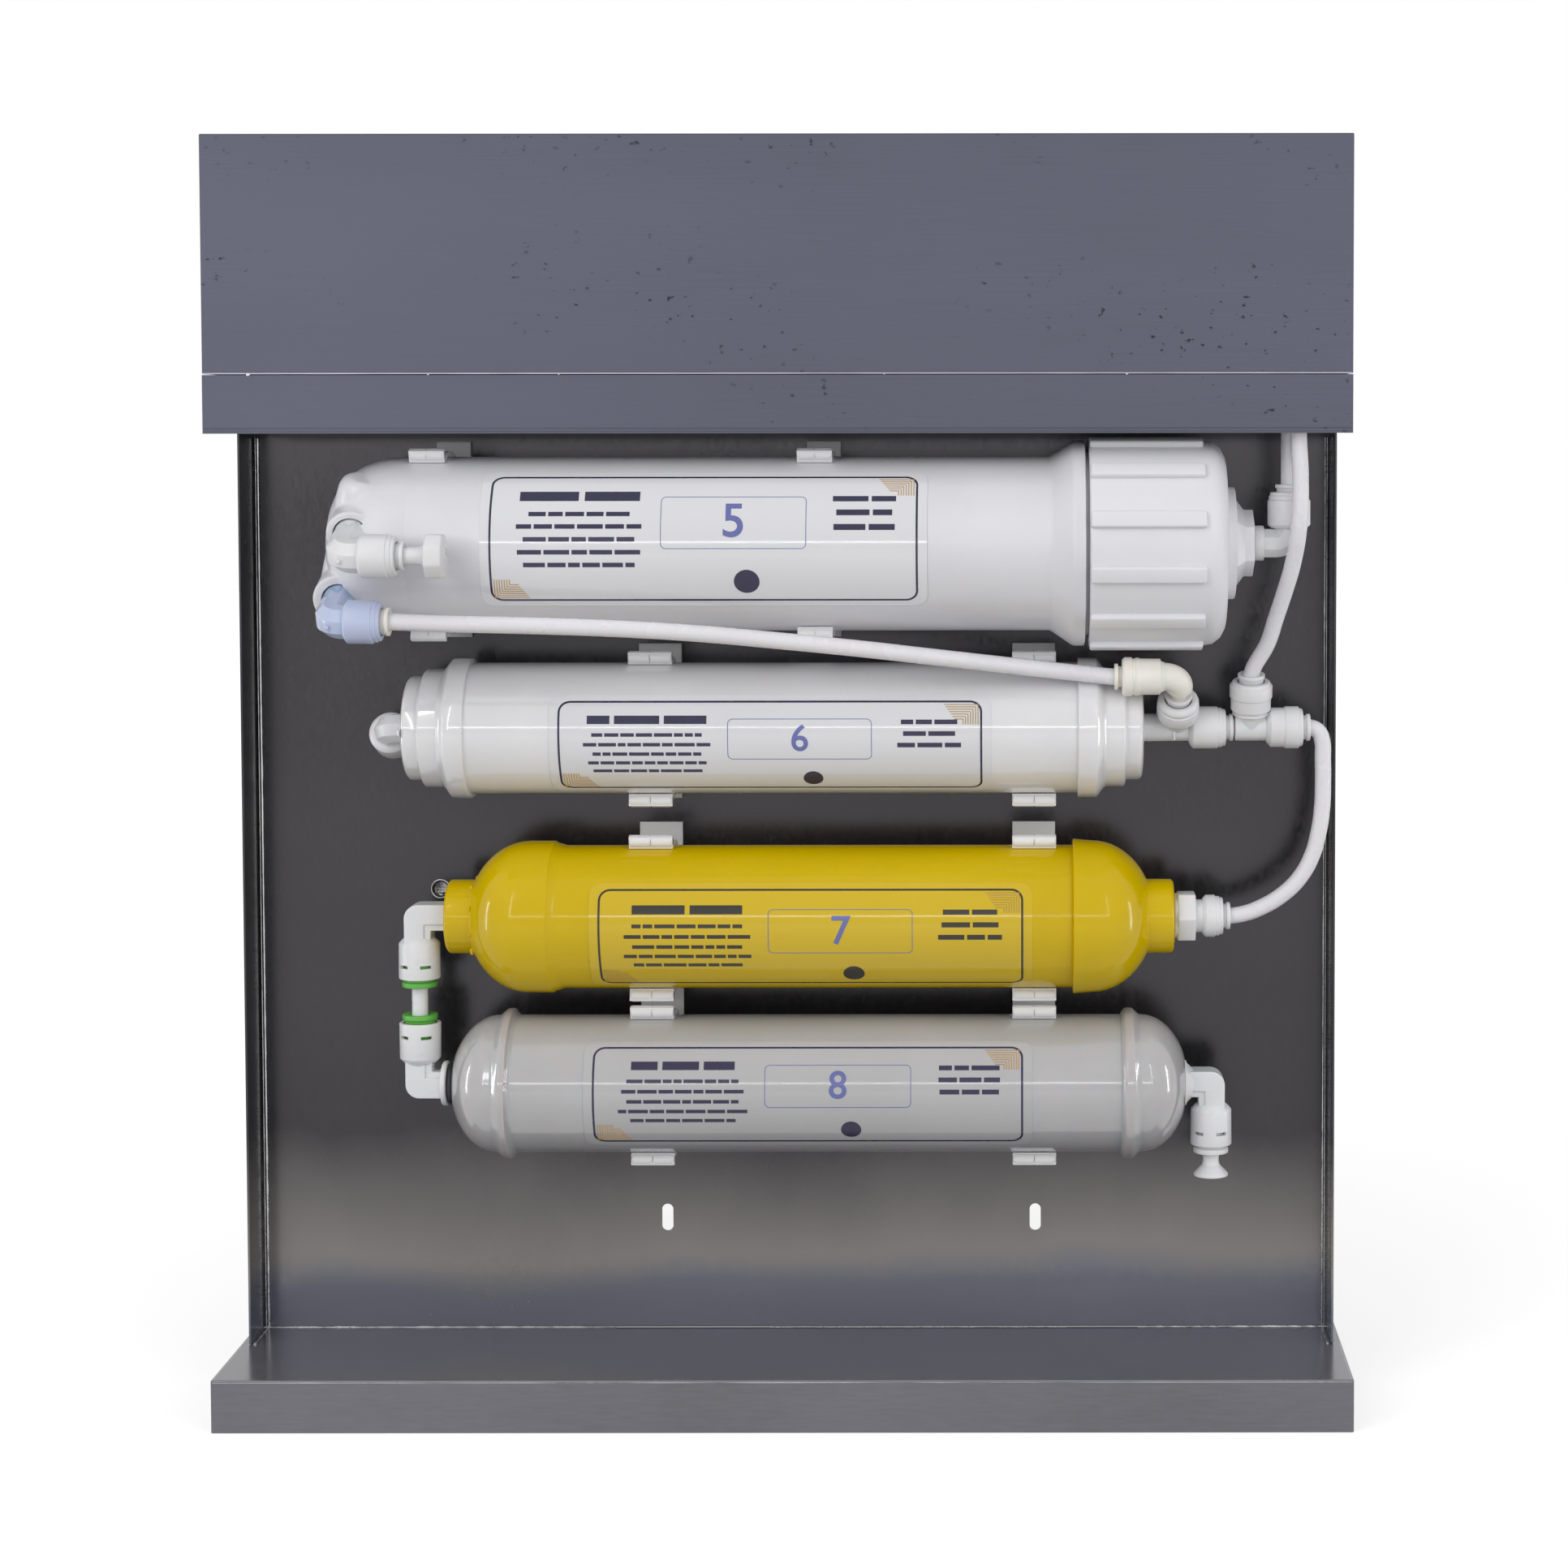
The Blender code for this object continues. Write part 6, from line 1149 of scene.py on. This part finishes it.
def wrap_about(piece, radius, axis_point, middle_deg):
    """Wrap a page whose print isn't centred: its own middle decides where it is bent."""
    heights = [vertex.co.y for vertex in piece.data.vertices]
    middle = (max(heights) + min(heights)) / 2
    piece.data.transform(Matrix.Translation((0, -middle, 0)))
    wrap(piece, (max(heights) - min(heights)) / MM, radius, axis_point,
         middle_deg + math.degrees(middle / (radius * MM)))


def print_words(width, height, seeds):
    """A heading with five lines below it, and three short lines at the right."""
    bpy.ops.object.mode_set(mode="EDIT")
    top = height / 2 - INSET
    heading_x = width * (0.21 - 0.5)
    page_words(heading_x, top - height * 0.17, width * 0.29, height * 0.072, seeds)
    for line in range(5):
        page_words(heading_x, top - height * (0.30 + 0.085 * line),
                   width * (0.30 if line in (1, 3) else 0.26), height * 0.030, seeds)
    for line in range(3):
        page_words(width * (0.5 - 0.125), top - height * (0.19 + 0.10 * line), width * 0.15, height * 0.040,
                   seeds)
    bpy.ops.object.mode_set(mode="OBJECT")


def print_corners(width, height):
    """A triangle of ruled lines in two opposite corners."""
    bpy.ops.object.mode_set(mode="EDIT")
    for side in (-1, 1):
        corner_x, corner_y = side * (width / 2 - 1.6), side * (height / 2 - INSET - 1.6)
        for step in range(RULES):
            reach = RULE_LENGTH - RULE_SHORTER * step
            offset = step * RULE_STEP
            page_block(corner_x - side * (offset + reach / 2), corner_y - side * offset, reach, RULE_LINE)
            page_block(corner_x - side * offset, corner_y - side * (offset + reach * 0.30), RULE_LINE,
                       reach * 0.6)
    bpy.ops.object.mode_set(mode="OBJECT")


def make_label(name, axis, radius, left, right, high_deg, low_deg, numeral, film, ink, seed):
    """Generic label: a film, a border, bars for words, a stage numeral and ruled corners."""
    width = right - left
    height = math.radians(high_deg - low_deg) * radius
    low = INSET - height / 2
    roll = (radius, at((left + right) / 2, *axis), (high_deg + low_deg) / 2)
    sheet = page_frame(name + "_film", width + 7, height, 5.0, 0, FILM_LIFT, FILM_THICK)
    wrap(sheet, height, *roll)
    keep(sheet, film, CHASSIS, "white")

    border = page_frame(name + "_print", width, height - 2 * INSET, 4.6, 0.8)
    activate(border)
    print_words(width, height, random.Random(seed))
    disc = turned(name + "_disc", Vector((width * 0.10, low + height * 0.15, PRINT_LIFT)) * MM, UP,
                  [(0, height * 0.085), (0.05, height * 0.085)], 32, edge_mm=0)
    printed = join(name + "_print", border, disc)
    wrap(printed, height - 2 * INSET, *roll)
    keep(printed, ink, CHASSIS, "white")

    stage = page_frame(name + "_stage", width * 0.34, height * 0.36, 2.0, 0.25)
    stage = join(name + "_stage", stage, page_numeral(numeral, height * 0.24))
    stage.data.transform(Matrix.Translation((width * 0.07 * MM, height * 0.10 * MM, 0)))
    wrap_about(stage, *roll)
    keep(stage, label_blue, CHASSIS, "white")

    corners = page_frame(name + "_gold", 1.0, 0.3, 0.05)
    corners.data.transform(Matrix.Translation(((2.2 - width / 2) * MM, (low + 2.2) * MM, 0)))
    activate(corners)
    print_corners(width, height)
    wrap_about(corners, *roll)
    keep(corners, label_gold, CHASSIS, "white")


def make_labels():
    """One generic label on each filter."""
    rows = (("membrane_label", MEMBRANE_AXIS, 33.45, -107.5, 52.7, 55, -42, "5", label_white, label_navy),
            ("carbon_label", CARBON_AXIS, 25.6, -85.7, 76.4, 35, -64, "6", label_white, label_navy),
            ("mineral_label", MINERAL_AXIS, 27.85, -70.6, 92.0, 36, -63, "7", label_yellow, label_black),
            ("oxygen_label", OXYGEN_AXIS, 26.75, -73.4, 91.9, 48, -50, "8", label_milky, label_navy))
    for seed, row in enumerate(rows):
        make_label(*row, seed)


# Small metalwork: beads, seams and the hood's folded edges

FLOOR_Z = 20.5
HEM_Z = 403.2
SPARE_HOLE = (-141.3, 198.6)


def bead(name, start, way, length_mm, radius_mm, jitter, seed, body=CHASSIS, material=None, step_mm=3.0):
    """Welded or ground line: a thin rod whose thickness wanders."""
    seeds = random.Random(seed)
    rod = Draw(name, start, way, radius_mm, 12)
    steps = max(2, int(length_mm / step_mm))
    for _ in range(steps):
        rod.step(length_mm / steps, radius_mm * seeds.uniform(1 - jitter, 1 + jitter))
    keep(rod.done(edge_mm=0, shade_deg=60), material or weld_steel, body, "steel")


def make_metalwork():
    """Beads along the seams, nubs on the hem, bends of the base tray and a dark disc with a bright collar in
    the spare hole.
    """
    rows = (("fold_left_bead", (-212.3, 0.5, FLOOR_Z + 0.4), UP, 358, 0.62, 0.22),
            ("fold_left_line", (-212.9, 2.1, FLOOR_Z + 0.4), UP, 358, 0.22, 0.3),
            ("fold_right_bead", (212.4, 0.4, FLOOR_Z + 0.4), UP, 358, 0.3, 0.4),
            ("fold_right_line", (212.9, 3.5, FLOOR_Z + 0.4), UP, 358, 0.16, 0.3),
            ("seam_left_bead", (-211.5, 0.15, FLOOR_Z + 0.15), RIGHT, 140, 0.34, 0.55),
            ("seam_middle_bead", (-10, 0.1, FLOOR_Z + 0.05), RIGHT, 120, 0.18, 0.5),
            ("seam_right_bead", (138, 0.15, FLOOR_Z + 0.15), RIGHT, 73, 0.42, 0.75),
            ("wall_left_bead", (-212.4, 0.5, FLOOR_Z + 0.1), FORWARD, 23, 0.36, 0.6),
            ("wall_right_bead", (212.4, 0.5, FLOOR_Z + 0.1), FORWARD, 23, 0.3, 0.6))
    for seed, (name, place, way, length, radius, jitter) in enumerate(rows, start=1):
        bead(name, at(*place), way, length, radius, jitter, seed)
    # A thin bead for the folded edge at the hood's foot, coloured far lighter than the hood's steel as a
    # painted highlight
    bead("hood_seam_edge", at(-215.4, 71.25, 403.55), RIGHT, 430.8, 0.34, 0.12, 10, "hood_cover", seam_highlight_steel,
         8.0)
    for index, (x, size) in enumerate(((-198.5, 0.7), (-131.0, 0.45), (-82.0, 0.4), (40.0, 0.35),
                                       (131.0, 0.5))):
        nub = turned(f"hood_nub_{index}", at(x, 71.3, HEM_Z), FORWARD,
                     [(-0.4, size), (0.2, size), (0.45, size * 0.5)], 16, edge_mm=0.08)
        keep(nub, weld_steel, CHASSIS, "steel")
    roll = Draw("hem_roll", at(-215.6, 69.9, 382.35), RIGHT, 1.35, 32)
    roll.step(431.2)
    keep(roll.done(edge_mm=0.3), hood_steel, CHASSIS, "steel")
    # Rounded bends of the base tray as rods, coloured lighter than the tray: the light line along each bend
    # is a painted highlight
    bend_z, bend_radius, bend_jitter, bend_step = 19.58, 0.93, 0.03, 12.0
    for side, across_word, along_word in ((-1, "back", "left"), (1, "front", "right")):
        bead("base_bend_" + across_word, at(-217.2, side * 71.6 - 1.5, bend_z), RIGHT, 434.4, bend_radius,
             bend_jitter, 11, material=bend_highlight_steel, step_mm=bend_step)
        bead("base_bend_" + along_word, at(side * 217.1, -73.2, bend_z), FORWARD, 143.4, bend_radius,
             bend_jitter, 12, material=bend_highlight_steel, step_mm=bend_step)
    # A dark disc of the panel's steel sits in the spare hole, which the frame's panel leaves open, with a
    # bright collar round the hole
    x, height = SPARE_HOLE
    dark_disc = turned("spare_hole_blank", at(x, -0.6, height), FORWARD,
                   [(-0.4, 3.5), (0.1, 3.5), (0.1, 2.9), (-0.1, 2.7)], 40, edge_mm=0.08)
    keep(dark_disc, panel_steel, CHASSIS, "steel")
    rim = turned("spare_hole_rim", at(x, 0, height), FORWARD,
                 [(-0.7, 3.6), (0.22, 3.85), (0.28, 3.6), (0.1, 3.35), (-0.7, 3.3)], 48, edge_mm=0.05)
    keep(rim, weld_steel, CHASSIS, "steel")


weld_steel = steel_finish("weld_steel", (0.52, 0.52, 0.53), 0.28, (900, 900, 900), 0.02, 0.35)
# Bend rods: the tray's steel made much lighter, a painted highlight along each rounded bend
bend_highlight_steel = steel_finish("bend_highlight_steel", (0.42, 0.42, 0.45), 0.24, (120, 900, 900), 0.006, 0.2, metallic=0.6)
# Hood seam edge: much lighter than the hood's steel, a painted highlight along the fold
seam_highlight_steel = steel_finish("seam_highlight_steel", (0.42, 0.43, 0.48), 0.30, (60, 900, 900), 0.01, 0.2)
label_white = plastic_finish("label_white", (0.70, 0.70, 0.725), 0.09, 0.015, 0.003, coat=(0.4, 0.03))
label_yellow = plastic_finish("label_yellow", YELLOW, 0.08, 0.02, 0.003, Specular_IOR_Level=0.4,
                              coat=(0.2, 0.03))
label_milky = plastic_finish("label_milky", MILKY, 0.09, 0.03, 0.003, coat=(0.3, 0.03))
label_navy = plastic_finish("label_navy", (0.020, 0.016, 0.055), 0.25, 0.1, 0.002)
label_black = plastic_finish("label_black", (0.022, 0.018, 0.012), 0.25, 0.1, 0.002)
label_blue = plastic_finish("label_blue", (0.13, 0.15, 0.38), 0.25, 0.08, 0.002)
label_gold = plastic_finish("label_gold", (0.50, 0.30, 0.07), 0.28, 0.25, 0.002)


# Pieces that keep the frame's own mesh

SLOT_FINISHES = {"steel": panel_steel, "white": housing_white, "fitting": fitting_white,
                 "cream": fitting_cream, "blue": fitting_blue, "green": collet_green,
                 "yellow": mineral_yellow, "milky": oxygen_milky, "tube": tube_white,
                 "rubber": seal_black, "carbon": carbon_black, "ceramic": ceramic_beige,
                 "film": film_blue, "motor": motor_black, "head": head_grey}


def dress():
    """Give every node the finish of its slot; the drawn pieces replace most of them."""
    for piece in nodes.values():
        slots = [slot.name for slot in piece.data.materials if slot]
        for word, finish in SLOT_FINISHES.items():
            if any(word in slot for slot in slots):
                piece.data.materials.clear()
                piece.data.materials.append(finish)
                break


# Room: soft lamps and a plain white surround for eyes and mirrors

WHITE_LIGHT = (1, 1, 1, 1)
SOFT_STRENGTH = 0.31
LAMP_AIM = Vector((0, 0, 0.25))
LAMPS = (("lamp_left", (-1.5, -2.0, 1.7), 2.0, 2.0, 27, False),
         ("lamp_right", (1.7, -1.9, 1.1), 2.0, 2.0, 19, False),
         ("lamp_top", (0.0, -0.3, 2.4), 2.0, 2.0, 10, False),
         ("strip_left", (-0.75, -1.15, 0.75), 0.05, 0.9, 1.4, True),
         ("strip_right", (0.95, -1.25, 0.8), 0.04, 0.8, 0.9, True),
         ("strip_front", (0.1, -1.75, 0.46), 2.4, 0.07, 3.0, True),
         ("strip_far_left", (-1.0, -0.12, 0.2), 0.05, 0.5, 1.2, True),
         ("strip_far_right", (1.0, -0.12, 0.2), 0.05, 0.5, 1.2, True))


def seen_rays(tree):
    """One where a ray comes from the camera, a mirror or glass, and nought elsewhere."""
    path = tree.nodes.new("ShaderNodeLightPath")
    seen = path.outputs["Is Camera Ray"]
    for word in ("Is Glossy Ray", "Is Transmission Ray"):
        either = tree.nodes.new("ShaderNodeMath")
        either.operation = "MAXIMUM"
        tree.links.new(seen, either.inputs[0])
        tree.links.new(path.outputs[word], either.inputs[1])
        seen = either.outputs[0]
    return seen


def make_floor():
    """A pale floor that fades into the surround and keeps the object's shadow."""
    deselect()
    bpy.ops.mesh.primitive_plane_add(size=12, location=(0, 0, 0))
    floor = bpy.context.object
    floor.name = "floor"
    finish = Finish("floor_pale", (0.5, 0.5, 0.5), 0.9, Specular_IOR_Level=0.0, Emission_Color=WHITE_LIGHT)
    away = finish.node("ShaderNodeVectorMath", {"operation": "LENGTH"}, i0=finish.place).outputs["Value"]
    glow = finish.levels(away, 0.25, 1.3, 0.66, 0.93)
    finish.feed("Emission Strength", finish.sum("MULTIPLY", seen_rays(finish.tree), glow))
    floor.data.materials.append(finish.material)


def make_surround():
    """White for eyes and mirrors, and a soft light for the rest."""
    world = bpy.data.worlds.new("studio")
    bpy.context.scene.world = world
    world.use_nodes = True
    tree = world.node_tree
    tree.nodes.clear()
    mix = tree.nodes.new("ShaderNodeMixShader")
    tree.links.new(seen_rays(tree), mix.inputs[0])
    for place, strength in ((1, SOFT_STRENGTH), (2, 1.0)):
        light = tree.nodes.new("ShaderNodeBackground")
        light.inputs["Color"].default_value = WHITE_LIGHT
        light.inputs["Strength"].default_value = strength
        tree.links.new(light.outputs[0], mix.inputs[place])
    surround = tree.nodes.new("ShaderNodeOutputWorld")
    tree.links.new(mix.outputs[0], surround.inputs[0])


def make_lamps():
    """Area lamps by name, place, width, height, power and whether mirrors show them."""
    for name, place, width, height, power, in_mirrors in LAMPS:
        light = bpy.data.lights.new(name, "AREA")
        light.shape = "RECTANGLE"
        light.size, light.size_y = width, height
        light.energy = power
        lamp = bpy.data.objects.new(name, light)
        lamp.location = place
        lamp.rotation_euler = (LAMP_AIM - lamp.location).to_track_quat("-Z", "Y").to_euler()
        lamp.visible_glossy = in_mirrors
        bpy.context.scene.collection.objects.link(lamp)


def make_camera():
    """The photograph's viewpoint: level with the upper filters, a little right of the middle."""
    camera = bpy.data.cameras.new("camera")
    camera.sensor_width = 36
    camera.lens = 72.6
    camera.shift_x, camera.shift_y = -0.15, -0.13
    camera.clip_start, camera.clip_end = 0.05, 50
    eye = bpy.data.objects.new("camera", camera)
    eye.location = Vector((90.26, -1245.58, 385.0)) * MM
    eye.rotation_euler = (math.pi / 2 - 0.04984, 0.00088, -0.0003)
    bpy.context.scene.collection.objects.link(eye)
    bpy.context.scene.camera = eye


dress()
make_chassis()
make_membrane_housing()
make_membrane_cap()
make_clips()
make_post_carbon()
make_mineral()
make_oxygen()
make_manifold_elbows()
make_tees()
make_white_elbows()
make_quick_elbows()
make_tubes()
make_pump()
make_tank_union()
make_labels()
make_metalwork()
make_floor()
make_surround()
make_lamps()
make_camera()
bpy.context.scene.view_settings.view_transform = "Standard"
